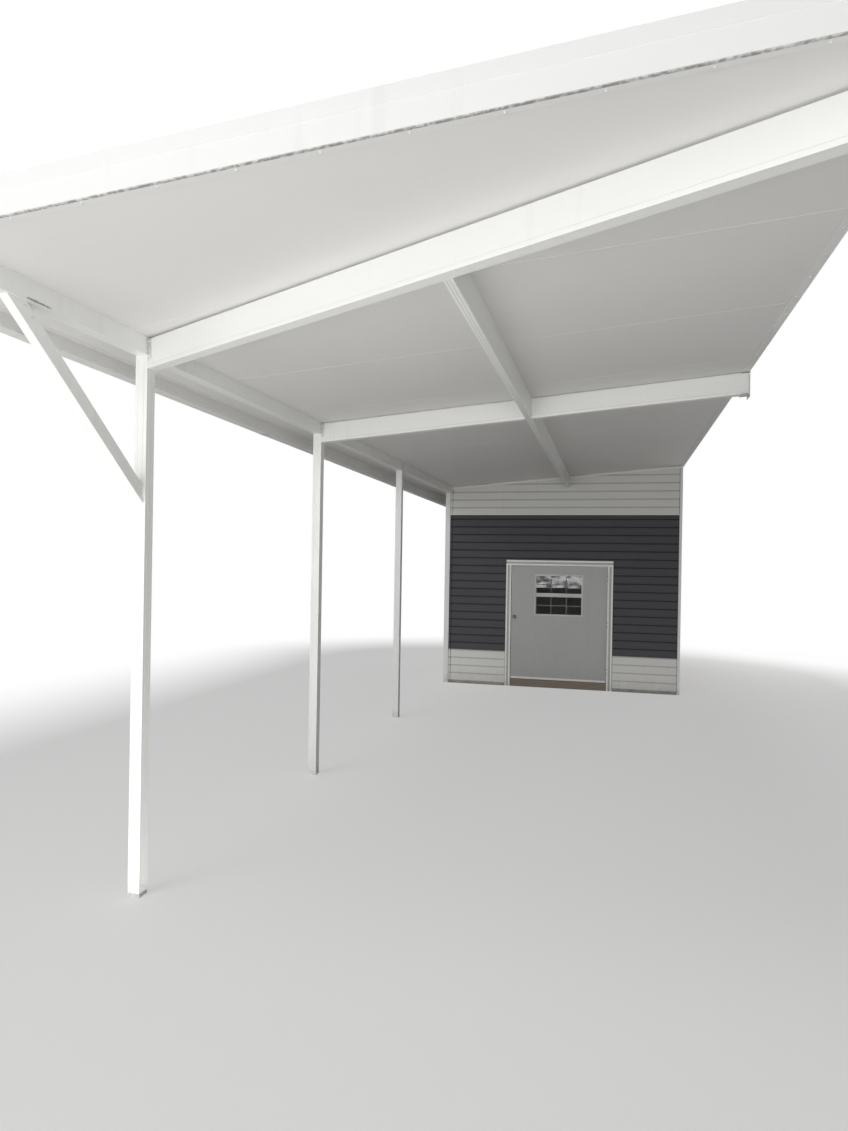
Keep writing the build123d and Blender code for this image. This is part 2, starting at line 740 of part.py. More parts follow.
def make_beam_brackets():
    with BuildPart() as brackets:
        for y, advance in ((POST_Y, FRONT_BEAM_ADVANCE), (MIDDLE_Y, 0)):
            add(beam_hanger(y - advance))
            add(corner_clips(ceiling_point(EAVE_X, y), ceiling_point(HOUSE_X, y - advance)))
        add(purlin_shoe())
        add(post_tie())
    save(brackets.part, "beam_brackets")


# Storage room
def wall_top(x_left, x_right):
    """The points of a wall's top under the ceiling, let down under the ledger's lip."""
    lip = HOUSE_X - SHEET_T - LEDGER_LIP - SEAM_GAP
    if x_right < lip:
        return [on_roof(x_right), on_roof(x_left)]
    points = [on_roof(x_right, -SHEET_T)]
    if x_left < lip:
        points += [on_roof(lip, -SHEET_T), on_roof(lip), on_roof(x_left)]
    else:
        points += [on_roof(x_left, -SHEET_T)]
    return points


def wall(x_left, x_right, y_front, y_rear, base=0.0):
    """A wall between plumb faces, whose top follows the ceiling."""
    section = [(x_left, base), (x_right, base)] + wall_top(x_left, x_right)
    return level_run(section, y_front, y_rear)


def make_walls():
    front_back = WALL_Y + WALL_T
    rear_front = ROOM_REAR_Y - WALL_T
    open_left, open_right = CLEAR_LEFT_X - JAMB_T, CLEAR_RIGHT_X + JAMB_T
    head = CLEAR_TOP_Z + JAMB_T
    save(wall(ROOM_LEFT_X, open_left, WALL_Y, front_back), "front_wall_left")
    save(wall(open_right, ROOM_RIGHT_X, WALL_Y, front_back), "front_wall_right")
    save(wall(open_left, open_right, WALL_Y, front_back, head), "front_wall_over_door")
    save(wall(ROOM_LEFT_X, ROOM_LEFT_X + WALL_T, front_back, rear_front), "left_wall")
    save(wall(ROOM_RIGHT_X - WALL_T, ROOM_RIGHT_X, front_back, rear_front), "party_wall")
    save(wall(ROOM_LEFT_X, ROOM_RIGHT_X, rear_front, ROOM_REAR_Y), "rear_wall")


def make_corner_trims():
    """Two-sided corner trims on the eave side, and flat end trims on the house side."""
    outer = ROOM_LEFT_X - TRIM_PROUD
    inner = outer + CORNER_WIDTH
    top = on_roof(outer)[1]
    end_top = on_roof(ROOM_RIGHT_X - END_TRIM_WIDTH, -SHEET_T)[1]
    with BuildPart() as trims:
        for y, way, front_top in ((WALL_Y, 1, POST_TOP), (ROOM_REAR_Y, -1, top)):
            proud = y - way * TRIM_PROUD
            with BuildSketch(Plane.XY):
                Polygon([(outer, proud), (inner, proud), (inner, y), (outer, y)])
            extrude(amount=front_top)
            with BuildSketch(Plane.XY):
                Polygon([
                    (outer, y),
                    (ROOM_LEFT_X, y),
                    (ROOM_LEFT_X, y + way * CORNER_RETURN),
                    (outer, y + way * CORNER_RETURN),
                ])
            extrude(amount=top)
            with BuildSketch(Plane.XY):
                with Locations((ROOM_RIGHT_X - END_TRIM_WIDTH / 2, (y + proud) / 2)):
                    Rectangle(END_TRIM_WIDTH, TRIM_PROUD)
            extrude(amount=end_top)
    save(trims.part, "corner_trims")


def make_floor():
    left, right = ROOM_LEFT_X + WALL_T, ROOM_RIGHT_X - WALL_T
    front, rear = WALL_Y + WALL_T, ROOM_REAR_Y - WALL_T
    tongue = WALL_Y - SILL_PROUD + SILL_T
    with BuildPart() as floor:
        with BuildSketch(Plane.XY):
            Polygon([
                (left, front),
                (CLEAR_LEFT_X, front),
                (CLEAR_LEFT_X, tongue),
                (CLEAR_RIGHT_X, tongue),
                (CLEAR_RIGHT_X, front),
                (right, front),
                (right, rear),
                (left, rear),
            ])
        extrude(amount=FLOOR_Z)
    save(floor.part, "storage_floor")


# Doorway
def frame_profile():
    """The frame's section: grooved casing, jamb board and stop, measured from the opening."""
    stop = LEAF_Y - WALL_Y + LEAF_T + STOP_GAP
    groove = (CASING_WIDTH - CASING_GROOVE) / 2
    casing = [
        (0, -CASING_T),
        (groove, -CASING_T),
        (groove, -CASING_T + CASING_GROOVE_DEPTH),
        (groove + CASING_GROOVE, -CASING_T + CASING_GROOVE_DEPTH),
        (groove + CASING_GROOVE, -CASING_T),
        (CASING_WIDTH, -CASING_T),
        (CASING_WIDTH, 0),
        (0, 0),
    ]
    board = [(0, 0), (JAMB_T, 0), (JAMB_T, WALL_T), (0, WALL_T)]
    back = stop + STOP_DEPTH
    stop_bar = [(-STOP_WIDTH, stop), (0, stop), (0, back), (-STOP_WIDTH, back)]
    return casing, board, stop_bar


def make_door_jambs():
    with BuildPart() as jambs:
        for edge, way in ((CLEAR_LEFT_X, -1), (CLEAR_RIGHT_X, 1)):
            for section, base in zip(frame_profile(), (0, 0, FLOOR_Z)):
                with BuildSketch(Plane.XY.offset(base)):
                    Polygon([(edge + way * out, WALL_Y + back) for out, back in section])
                extrude(amount=CLEAR_TOP_Z - base)
    save(jambs.part, "door_jambs")


def make_door_head():
    """The frame's head: casing over both jambs, board in the wall, stop between the stops."""
    reaches = (CASING_WIDTH, JAMB_T, -STOP_WIDTH)
    with BuildPart() as head:
        for section, reach in zip(frame_profile(), reaches):
            with BuildSketch(Plane.YZ.offset(CLEAR_LEFT_X - reach)):
                Polygon([(WALL_Y + back, CLEAR_TOP_Z + out) for out, back in section])
            extrude(amount=CLEAR_RIGHT_X - CLEAR_LEFT_X + 2 * reach)
    save(head.part, "door_head")


def make_door_sill():
    front, back = WALL_Y - SILL_PROUD, WALL_Y - SILL_PROUD + SILL_T
    with BuildPart() as sill:
        with BuildSketch(Plane.YZ.offset(CLEAR_LEFT_X)):
            Polygon([
                (front, 0),
                (back, 0),
                (back, FLOOR_Z),
                (front + SILL_GAP, FLOOR_Z),
                (front, FLOOR_Z - SILL_GAP),
            ])
        extrude(amount=CLEAR_RIGHT_X - CLEAR_LEFT_X)
    save(sill.part, "door_sill")


def hinge_levels():
    """The middle heights of the hinges, evenly spaced between their margins."""
    low, high = LEAF_Z + HINGE_MARGIN, LEAF_Z + LEAF_HEIGHT - HINGE_MARGIN
    return [low + (high - low) * index / (HINGE_COUNT - 1) for index in range(HINGE_COUNT)]


def knuckle(z, bore_r=0.0):
    """One knuckle from a height up, bored for the pin where a radius is given."""
    with BuildPart() as barrel:
        with BuildSketch(Plane(origin=(HINGE_X, HINGE_Y, z))):
            Circle(KNUCKLE_R)
            if bore_r:
                Circle(bore_r, mode=Mode.SUBTRACT)
        extrude(amount=KNUCKLE_LENGTH)
    return barrel.part


def make_frame_hinges():
    """The fixed halves: the middle knuckle with its plate on the casing, and the pin."""
    casing_face = WALL_Y - CASING_T
    pin_length = 3 * KNUCKLE_LENGTH + 2 * KNUCKLE_GAP
    with BuildPart() as hinges:
        for level in hinge_levels():
            base = level - KNUCKLE_LENGTH / 2
            add(knuckle(base))
            with BuildSketch(Plane.XY.offset(base)):
                Polygon([
                    (HINGE_X, casing_face - HINGE_LEAF_T),
                    (CLEAR_RIGHT_X + HINGE_LEAF_WIDTH, casing_face - HINGE_LEAF_T),
                    (CLEAR_RIGHT_X + HINGE_LEAF_WIDTH, casing_face),
                    (HINGE_X, casing_face),
                ])
            extrude(amount=KNUCKLE_LENGTH)
            with BuildSketch(Plane(origin=(HINGE_X, HINGE_Y, level - pin_length / 2))):
                Circle(PIN_R)
            extrude(amount=pin_length)
    save(hinges.part, "frame_hinges")


# Door
def make_door_leaf():
    lite_x = LEAF_X - LITE_FROM_HINGE - LITE_WIDTH / 2
    lite_z = LEAF_Z + LEAF_HEIGHT - LITE_FROM_TOP - LITE_HEIGHT / 2
    with BuildPart() as leaf:
        with BuildSketch(across(LEAF_Y + LEAF_T)):
            with Locations((LEAF_X - LEAF_WIDTH / 2, LEAF_Z + LEAF_HEIGHT / 2)):
                Rectangle(LEAF_WIDTH, LEAF_HEIGHT)
            with Locations((lite_x, lite_z)):
                Rectangle(LITE_WIDTH - 2 * LITE_LAP, LITE_HEIGHT - 2 * LITE_LAP, mode=Mode.SUBTRACT)
        extrude(amount=LEAF_T)
    save(leaf.part, "door_leaf")
    return lite_x, lite_z


def make_door_window(lite_x, lite_z):
    """A framed light: flanges lap the leaf on both faces, and a rail parts the two panes."""
    inner_width, inner_height = LITE_WIDTH - 2 * LITE_BAR, LITE_HEIGHT - 2 * LITE_BAR
    back, middle = LEAF_Y + LEAF_T, LEAF_Y + LEAF_T / 2
    lining = (LITE_WIDTH - 2 * LITE_LAP, LITE_HEIGHT - 2 * LITE_LAP)
    rings = (
        (across(back + LITE_PROUD), LITE_PROUD, (LITE_WIDTH, LITE_HEIGHT)),
        (across(back), LEAF_T, lining),
        (across(LEAF_Y), LITE_PROUD, (LITE_WIDTH, LITE_HEIGHT)),
    )
    pane_height = inner_height / 2
    with BuildPart() as frame:
        for plane, depth, size in rings:
            with BuildSketch(plane):
                with Locations((lite_x, lite_z)):
                    Rectangle(*size)
                    Rectangle(inner_width, inner_height, mode=Mode.SUBTRACT)
            extrude(amount=depth)
        with BuildSketch(across(middle + GLASS_STAGGER + GLASS_T)):
            with Locations((lite_x, lite_z)):
                Rectangle(inner_width, MEETING_RAIL)
        extrude(amount=2 * (GLASS_STAGGER + GLASS_T))
    save(frame.part, "door_window_frame")
    with BuildPart() as glass:
        for side in (1, -1):
            with BuildSketch(across(middle - side * GLASS_STAGGER + GLASS_T / 2)):
                with Locations((lite_x, lite_z + side * (MEETING_RAIL / 2 + pane_height) / 2)):
                    Rectangle(inner_width, pane_height - MEETING_RAIL / 2)
            extrude(amount=GLASS_T)
    save(glass.part, "door_glass")


def make_door_hinges():
    """The moving halves: the outer knuckles, and a plate that steps back to the leaf's face."""
    reach = KNUCKLE_LENGTH + KNUCKLE_GAP
    with BuildPart() as hinges:
        for level in hinge_levels():
            for base in (level - KNUCKLE_LENGTH / 2 - reach, level - KNUCKLE_LENGTH / 2 + reach):
                with BuildSketch(Plane.XY.offset(base)):
                    Polygon([
                        (LEAF_X, HINGE_Y),
                        (LEAF_X, LEAF_Y),
                        (LEAF_X - HINGE_LEAF_WIDTH, LEAF_Y),
                        (LEAF_X - HINGE_LEAF_WIDTH, LEAF_Y - HINGE_LEAF_T),
                        (LEAF_X - HINGE_LEAF_T, LEAF_Y - HINGE_LEAF_T),
                        (LEAF_X - HINGE_LEAF_T, HINGE_Y),
                    ])
                extrude(amount=KNUCKLE_LENGTH)
                add(knuckle(base, PIN_R + PIN_CLEARANCE))
    save(hinges.part, "door_hinges")


def knob_profile(way):
    """A knob's half section from the leaf's face out: rose, neck and a grip in turned bands."""
    grip = ROSE_T + NECK_LENGTH
    crown, end = grip + KNOB_CROWN * KNOB_LENGTH, grip + KNOB_LENGTH
    middle_r = (NECK_R + KNOB_R) / 2
    points = [
        (0, 0),
        (ROSE_R, 0),
        (ROSE_R - 2, ROSE_T / 2),
        (NECK_R, ROSE_T),
        (NECK_R, grip),
        (middle_r, grip + KNOB_LENGTH / 8),
        (KNOB_R - 2, grip + KNOB_LENGTH / 3),
        (KNOB_R, crown),
        (KNOB_R - 4, end - KNOB_LENGTH / 8),
        (KNOB_FACE_R, end),
        (0, end),
    ]
    return [(radius, way * out) for radius, out in points]


def make_door_knob():
    """A round knob on each face of the leaf."""
    x = LEAF_X - LEAF_WIDTH + KNOB_FROM_EDGE
    z = LEAF_Z + KNOB_FROM_BOTTOM
    with BuildPart() as knobs:
        for face, way in ((LEAF_Y, -1), (LEAF_Y + LEAF_T, 1)):
            with BuildSketch(Plane(origin=(x, face, z))):
                Polygon(knob_profile(way))
            revolve(axis=Axis((x, face, z), (0, 1, 0)))
    save(knobs.part, "door_knob")


make_roof_panels()
make_edges()
make_eave_fascia()
make_ledger_channel()
make_gutter()
make_gutter_straps(*make_downspout())
make_post("front_post", POST_Y)
make_post("middle_post", MIDDLE_Y)
make_post("rear_post", REAR_Y)
make_eave_beam()
make_cross_beams()
make_purlin()
make_knee_brace()
make_beam_brackets()
make_walls()
make_corner_trims()
make_floor()
make_door_jambs()
make_door_head()
make_door_sill()
make_frame_hinges()
make_door_window(*make_door_leaf())
make_door_hinges()
make_door_knob()
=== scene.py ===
"""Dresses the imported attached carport: finishes, lap siding, fasteners, door light and camera."""

from __future__ import annotations

import logging
import math
from dataclasses import dataclass, field
from enum import Enum

import bmesh
import bpy
from mathutils import Matrix, Vector


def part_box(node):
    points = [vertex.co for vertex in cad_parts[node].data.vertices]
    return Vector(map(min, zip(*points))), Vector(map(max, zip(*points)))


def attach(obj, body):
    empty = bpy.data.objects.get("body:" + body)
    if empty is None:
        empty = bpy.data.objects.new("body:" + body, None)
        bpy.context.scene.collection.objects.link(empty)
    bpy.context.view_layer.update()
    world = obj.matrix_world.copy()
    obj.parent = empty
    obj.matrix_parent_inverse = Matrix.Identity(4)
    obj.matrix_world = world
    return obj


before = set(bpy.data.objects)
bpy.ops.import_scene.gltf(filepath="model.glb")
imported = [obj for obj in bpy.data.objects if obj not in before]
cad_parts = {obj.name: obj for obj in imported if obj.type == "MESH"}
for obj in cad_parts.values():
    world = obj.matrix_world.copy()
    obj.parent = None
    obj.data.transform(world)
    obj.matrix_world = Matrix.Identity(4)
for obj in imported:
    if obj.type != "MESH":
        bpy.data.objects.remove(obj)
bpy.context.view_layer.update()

LOG = logging.getLogger("carport")
SEED = 7
BODY = "carport"
DOOR = "door"
PITCH = 1 / 12
SLOPE = math.atan(PITCH)
EAVE_BEAM_DEPTH = 0.102
CASING_WIDTH = 0.082
OPENING_WIDTH = 1.524
POSTS = ("front_post", "middle_post", "rear_post")

Colour = tuple[float, float, float]
Point = tuple[float, float, float]
Outline = list[tuple[float, float]]
Inputs = dict[int | str, object]
Node = bpy.types.Node
Socket = bpy.types.NodeSocket
Tree = bpy.types.NodeTree
Material = bpy.types.Material
Mesh = bpy.types.Mesh
Form = bmesh.types.BMesh


def low(node: str) -> Vector:
    """Returns the lowest corner of a CAD node's box."""
    return Vector(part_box(node)[0])


def high(node: str) -> Vector:
    """Returns the highest corner of a CAD node's box."""
    return Vector(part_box(node)[1])


EAVE_X = high("front_post").x
HOUSE_X = high("ledger_channel").x
POST_TOP = low("eave_beam").z
CEILING_Z = POST_TOP + EAVE_BEAM_DEPTH
ROOF_NORMAL = Vector((-math.sin(SLOPE), 0.0, math.cos(SLOPE)))
WALL_Y = low("front_wall_left").y
POST_Y, MIDDLE_Y, REAR_Y = [(low(post).y + high(post).y) / 2 for post in POSTS]
ROOF_FRONT = low("roof_panel_01").y
ROOF_REAR = high("roof_panel_10").y
ACROSS, OUT, UP = Vector((1, 0, 0)), Vector((0, -1, 0)), Vector((0, 0, 1))


def ceiling(x: float, drop: float = 0.0) -> float:
    """Returns the height of the roof panels' underside over x, less a drop square to it.

    Args:
        x: Place across the carport, in metres.
        drop: Distance under the ceiling, square to it.

    Returns:
        The height in metres.
    """
    return CEILING_Z + (x - EAVE_X) * PITCH - drop / math.cos(SLOPE)


# Node trees


class Graph:
    """Adds nodes to one tree and joins them."""

    def __init__(self, tree: Tree) -> None:
        """Keeps the tree that the nodes go into."""
        self.tree = tree

    def add(self, kind: str, inputs: Inputs | None = None, **settings: object) -> Node:
        """Adds one node.

        Args:
            kind: The node's Blender type.
            inputs: What feeds its inputs, by name or number.
            **settings: Node properties to set on it.

        Returns:
            The new node.
        """
        node = self.tree.nodes.new(kind)
        for name, value in settings.items():
            setattr(node, name, value)
        self.fill(node, inputs or {})
        return node

    def fill(self, node: Node, inputs: Inputs) -> None:
        """Feeds several inputs of a node, by name or number."""
        for label, source in inputs.items():
            self.feed(node.inputs[label], source)

    def feed(self, socket: Socket, source: object) -> None:
        """Joins a socket to another one, or sets its own value.

        Args:
            socket: The input to feed.
            source: An output socket, or a plain value.
        """
        if isinstance(source, Socket):
            self.tree.links.new(source, socket)
        else:
            socket.default_value = source

    def math(self, operation: str, *values: object, clamp: bool = False) -> Socket:
        """Adds a Math node.

        Args:
            operation: The operation's Blender name.
            *values: Sockets or numbers, in order.
            clamp: Whether the result is kept between 0 and 1.

        Returns:
            The result's socket.
        """
        node = self.add("ShaderNodeMath", dict(enumerate(values)), operation=operation, use_clamp=clamp)
        return node.outputs[0]

    def times(self, first: object, *others: object, clamp: bool = False) -> Socket:
        """Multiplies values in order.

        Args:
            first: Socket or number.
            *others: What it is multiplied by, one after another.
            clamp: Whether each product is kept between 0 and 1.

        Returns:
            The product's socket.
        """
        for other in others:
            first = self.math("MULTIPLY", first, other, clamp=clamp)
        return first

    def plus(self, first: object, second: object, clamp: bool = False) -> Socket:
        """Adds two values, keeping the sum between 0 and 1 where clamp is set."""
        return self.math("ADD", first, second, clamp=clamp)

    def minus(self, first: object, second: object) -> Socket:
        """Takes the second value from the first."""
        return self.math("SUBTRACT", first, second)

    def rest(self, value: object) -> Socket:
        """Returns what is left of 1 after a value."""
        return self.minus(1.0, value)

    def compare(self, operation: str, first: object, second: object) -> Socket:
        """Returns the number that a Vector Math node makes of two vectors."""
        return self.add("ShaderNodeVectorMath", {0: first, 1: second}, operation=operation).outputs["Value"]

    def coordinates(self, kind: str = "Object") -> Socket:
        """Returns the object's own coordinates, or those of another kind."""
        return self.add("ShaderNodeTexCoord").outputs[kind]

    def axis(self, vector: object, index: int) -> Socket:
        """Returns one number of a vector: 0 for X, 1 for Y, 2 for Z."""
        return self.add("ShaderNodeSeparateXYZ", {0: vector}).outputs[index]

    def noise(self, vector: object, scale: object, detail: float = 3.0, roughness: float = 0.5) -> Socket:
        """Adds a noise texture.

        Args:
            vector: The coordinates' socket.
            scale: Features per metre.
            detail: Octaves.
            roughness: Weight of the finer octaves.

        Returns:
            The noise value's socket, about 0.5 on average.
        """
        inputs = {"Vector": vector, "Scale": scale, "Detail": detail, "Roughness": roughness}
        return self.add("ShaderNodeTexNoise", inputs).outputs[0]

    def spread(self, value: object, lowest: object, highest: object) -> Socket:
        """Stretches a range of a value to 0 to 1, with soft ends.

        Args:
            value: The socket to stretch.
            lowest: What becomes 0.
            highest: What becomes 1.

        Returns:
            The stretched value's socket.
        """
        inputs = {"Value": value, "From Min": lowest, "From Max": highest}
        return self.add("ShaderNodeMapRange", inputs, interpolation_type="SMOOTHSTEP").outputs[0]

    def stretch(self, vector: object, scale: Point) -> Socket:
        """Scales coordinates by factors along X, Y and Z."""
        return self.add("ShaderNodeMapping", {"Vector": vector, "Scale": scale}).outputs[0]

    def blend(self, factor: object, first: object, second: object) -> Socket:
        """Mixes two colours.

        Args:
            factor: Share of the second colour.
            first: Colour or socket.
            second: Colour or socket.

        Returns:
            The mixed colour's socket.
        """
        inputs = {0: factor, 6: as_rgba(first), 7: as_rgba(second)}
        return self.add("ShaderNodeMix", inputs, data_type="RGBA").outputs[2]


def as_rgba(colour: object) -> object:
    """Adds an alpha of 1 to a plain colour and leaves a socket as it is."""
    return (*colour, 1.0) if isinstance(colour, tuple) and len(colour) == 3 else colour


def new_material(name: str) -> tuple[Material, Graph, Node]:
    """Starts a material.

    Args:
        name: The material's name.

    Returns:
        The material, its graph and its shader.
    """
    material = bpy.data.materials.new(name)
    material.use_nodes = True
    return material, Graph(material.node_tree), material.node_tree.nodes["Principled BSDF"]


def shader_group(name: str, inputs: dict[str, float], output: str) -> tuple[Tree, Graph, dict, Socket]:
    """Starts a shader node group that reads coordinates and puts out a mask or a height.

    Args:
        name: The group's name.
        inputs: Names and defaults of its number inputs.
        output: The name of its output.

    Returns:
        The tree, its graph, its input sockets by name and its output node's socket.
    """
    tree = bpy.data.node_groups.new(name, "ShaderNodeTree")
    tree.interface.new_socket("Vector", in_out="INPUT", socket_type="NodeSocketVector")
    for label, value in inputs.items():
        tree.interface.new_socket(label, in_out="INPUT", socket_type="NodeSocketFloat").default_value = value
    tree.interface.new_socket(output, in_out="OUTPUT", socket_type="NodeSocketFloat")
    graph = Graph(tree)
    start, end = graph.add("NodeGroupInput"), graph.add("NodeGroupOutput")
    return tree, graph, start.outputs, end.inputs[output]


class Effects:
    """The shader node groups that several finishes share, each built once."""

    def __init__(self) -> None:
        """Builds the groups."""
        self.drift = self._drift()
        self.streaks = self._streaks()
        self.splash = self._splash()
        self.grain = self._grain()

    def _drift(self) -> Tree:
        """Builds slow cloudy change of tone over a surface.

        Returns:
            The group, with the output Mask.
        """
        tree, graph, start, mask = shader_group("Tone drift", {"Scale": 0.8, "Contrast": 0.5}, "Mask")
        broad = graph.noise(start["Vector"], start["Scale"], detail=2)
        fine = graph.noise(start["Vector"], graph.times(start["Scale"], 6.5), detail=4)
        both = graph.plus(graph.times(broad, 0.7), graph.times(fine, 0.3))
        centred = graph.times(graph.minus(both, 0.5), start["Contrast"])
        graph.feed(mask, graph.plus(centred, 0.5, clamp=True))
        return tree

    def _streaks(self) -> Tree:
        """Builds runs of dirt that rain has drawn down an upright surface.

        Returns:
            The group, with the output Mask.
        """
        tree, graph, start, mask = shader_group("Rain streaks", {"Scale": 14.0, "Amount": 0.5}, "Mask")
        drawn = graph.stretch(start["Vector"], (1.0, 1.0, 0.07))
        lines = graph.spread(graph.noise(drawn, start["Scale"], detail=3, roughness=0.6), 0.52, 0.78)
        patches = graph.spread(graph.noise(start["Vector"], 0.9, detail=2), 0.38, 0.66)
        graph.feed(mask, graph.times(graph.times(lines, patches), start["Amount"], clamp=True))
        return tree

    def _splash(self) -> Tree:
        """Builds the soil that rain splashes up from the ground.

        Returns:
            The group, with the output Mask.
        """
        tree, graph, start, mask = shader_group("Ground splash", {"Height": 0.3, "Amount": 0.5}, "Mask")
        wobble = graph.times(graph.minus(graph.noise(start["Vector"], 9.0, detail=4), 0.5), 0.25)
        share = graph.math("DIVIDE", graph.plus(graph.axis(start["Vector"], 2), wobble), start["Height"])
        speckle = graph.spread(graph.noise(start["Vector"], 55.0, detail=2), 0.35, 0.65)
        speckle = graph.plus(graph.times(speckle, 0.6), 0.4)
        mottled = graph.times(graph.rest(graph.spread(share, 0.0, 1.0)), speckle)
        graph.feed(mask, graph.times(mottled, start["Amount"], clamp=True))
        return tree

    def _grain(self) -> Tree:
        """Builds a fine surface relief for a bump.

        Returns:
            The group, with the output Height.
        """
        inputs = {"Scale": 220.0, "Orange peel": 30.0}
        tree, graph, start, height = shader_group("Fine relief", inputs, "Height")
        fine = graph.noise(start["Vector"], start["Scale"], detail=2)
        peel = graph.noise(start["Vector"], start["Orange peel"], detail=1)
        graph.feed(height, graph.plus(graph.times(fine, 0.5), graph.times(peel, 0.5)))
        return tree


class Direction(Enum):
    """The axis that a finish's grain runs along."""

    ALONG_X = (0.05, 1.0, 1.0)
    ALONG_Y = (1.0, 0.05, 1.0)
    ALONG_Z = (1.0, 1.0, 0.05)
    LEVEL = (0.05, 0.05, 1.0)


@dataclass(frozen=True)
class Finish:
    """A painted or moulded surface with drift of tone, streaks, splashed soil and a fine relief."""

    name: str
    colour: Colour
    shade: Colour
    roughness: float = 0.45
    metallic: float = 0.0
    drift_scale: float = 0.7
    drift_contrast: float = 0.9
    streaks: float = 0.25
    soil: float = 0.35
    soil_height: float = 0.25
    relief_scale: float = 260.0
    peel_scale: float = 40.0
    bump: float = 0.15
    coat: float = 0.0
    specular: float = 0.5
    dirt: Colour = (0.22, 0.19, 0.15)

    def build(self, effects: Effects) -> Material:
        """Builds the material.

        Args:
            effects: The shared node groups.

        Returns:
            The finished material.
        """
        material, graph, shader = new_material(self.name)
        where = graph.coordinates()
        drift = self.place(graph, effects.drift, where, Scale=self.drift_scale, Contrast=self.drift_contrast)
        streaks = self.place(graph, effects.streaks, where, Amount=self.streaks)
        splash = self.place(graph, effects.splash, where, Height=self.soil_height, Amount=self.soil)
        colour = self.pattern(graph, where, graph.blend(drift, self.shade, self.colour))
        for soiled in (streaks, splash):
            colour = graph.blend(soiled, colour, self.dirt)
        rough = graph.plus(self.roughness, graph.times(graph.minus(drift, 0.5), 0.12))
        grime = graph.times(graph.math("MAXIMUM", streaks, splash), 0.3)
        scales = {"Scale": self.relief_scale, "Orange peel": self.peel_scale}
        height = self.height(graph, where, self.place(graph, effects.grain, where, **scales))
        bump = graph.add("ShaderNodeBump", {"Strength": self.bump, "Distance": 0.001, "Height": height})
        graph.fill(shader, {"Base Color": colour, "Roughness": graph.plus(rough, grime, clamp=True),
                            "Metallic": self.metallic, "Coat Weight": self.coat,
                            "Specular IOR Level": self.specular, "Normal": bump.outputs[0]})
        return material

    @staticmethod
    def place(graph: Graph, group: Tree, where: object, **values: float) -> Socket:
        """Places a shared group in a material.

        Args:
            graph: The material's graph.
            group: The shared group.
            where: The coordinates' socket.
            **values: The group's number inputs.

        Returns:
            The group's first output.
        """
        return graph.add("ShaderNodeGroup", {"Vector": where, **values}, node_tree=group).outputs[0]

    def pattern(self, graph: Graph, where: object, colour: object) -> object:
        """Lays the finish's own pattern over its base colour; plain finishes have none."""
        return colour

    def height(self, graph: Graph, where: object, relief: object) -> object:
        """Adds the finish's own relief to the fine one; plain finishes have none."""
        return relief


@dataclass(frozen=True)
class GrainedFinish(Finish):
    """A finish with a grain drawn along one axis, such as embossed vinyl or timber."""

    direction: Direction = Direction.ALONG_X
    grain_scale: float = 90.0
    grain_tone: float = 0.35
    grain_colour: Colour = (0.1, 0.1, 0.1)

    def lines(self, graph: Graph, where: object) -> Socket:
        """Builds the value of the drawn-out grain."""
        drawn = graph.stretch(where, self.direction.value)
        return graph.noise(drawn, self.grain_scale, detail=5, roughness=0.6)

    def pattern(self, graph: Graph, where: object, colour: object) -> object:
        """Tints the base colour along the grain."""
        mask = graph.times(graph.spread(self.lines(graph, where), 0.42, 0.72), self.grain_tone)
        return graph.blend(mask, colour, self.grain_colour)

    def height(self, graph: Graph, where: object, relief: object) -> object:
        """Adds the grain to the fine relief."""
        return graph.plus(graph.times(relief, 0.4), graph.times(self.lines(graph, where), 1.2))


@dataclass(frozen=True)
class LapFinish(GrainedFinish):
    """Siding vinyl with painted shade and some dust at the top of each course, just under the foot of the
    next course.
    """

    course: float = 0.127
    foot: float = 0.052
    upper_foot: float = 2.78
    lap_shade_share: float = 0.7
    lap_shade_colour: Colour = (0.02, 0.02, 0.02)

    def pattern(self, graph: Graph, where: object, colour: object) -> object:
        """Paints shade and some dust into the laps over the grain.

        Args:
            graph: The material's graph.
            where: The coordinates' socket.
            colour: The base colour.

        Returns:
            The siding's colour.
        """
        height = graph.axis(where, 2)
        upper = graph.math("GREATER_THAN", height, self.upper_foot - 0.01)
        foot = graph.plus(self.foot, graph.times(upper, self.upper_foot - self.foot))
        share = graph.math("FRACT", graph.math("DIVIDE", graph.minus(height, foot), self.course))
        # painted shade with some dust: darker towards the top of each course, under the next course's butt
        lap = graph.times(graph.spread(share, 0.76, 0.94), self.lap_shade_share)
        return graph.blend(lap, super().pattern(graph, where, colour), self.lap_shade_colour)


@dataclass(frozen=True)
class RecessFinish(Finish):
    """A finish with painted shade in a recess, between two depths along Y."""

    near: float = 0.0
    far: float = 0.0
    recess_shade: Colour = (0.36, 0.36, 0.34)
    recess_shade_share: float = 0.85

    def pattern(self, graph: Graph, where: object, colour: object) -> object:
        """Paints shade into the recess.

        Args:
            graph: The material's graph.
            where: The coordinates' socket.
            colour: The base colour.

        Returns:
            The colour with its recess.
        """
        depth = graph.axis(where, 1)
        behind = graph.math("GREATER_THAN", depth, self.near)
        before = graph.math("LESS_THAN", depth, self.far)
        # painted shade: the groove between the two depths is darkened
        return graph.blend(graph.times(behind, before, self.recess_shade_share), colour, self.recess_shade)


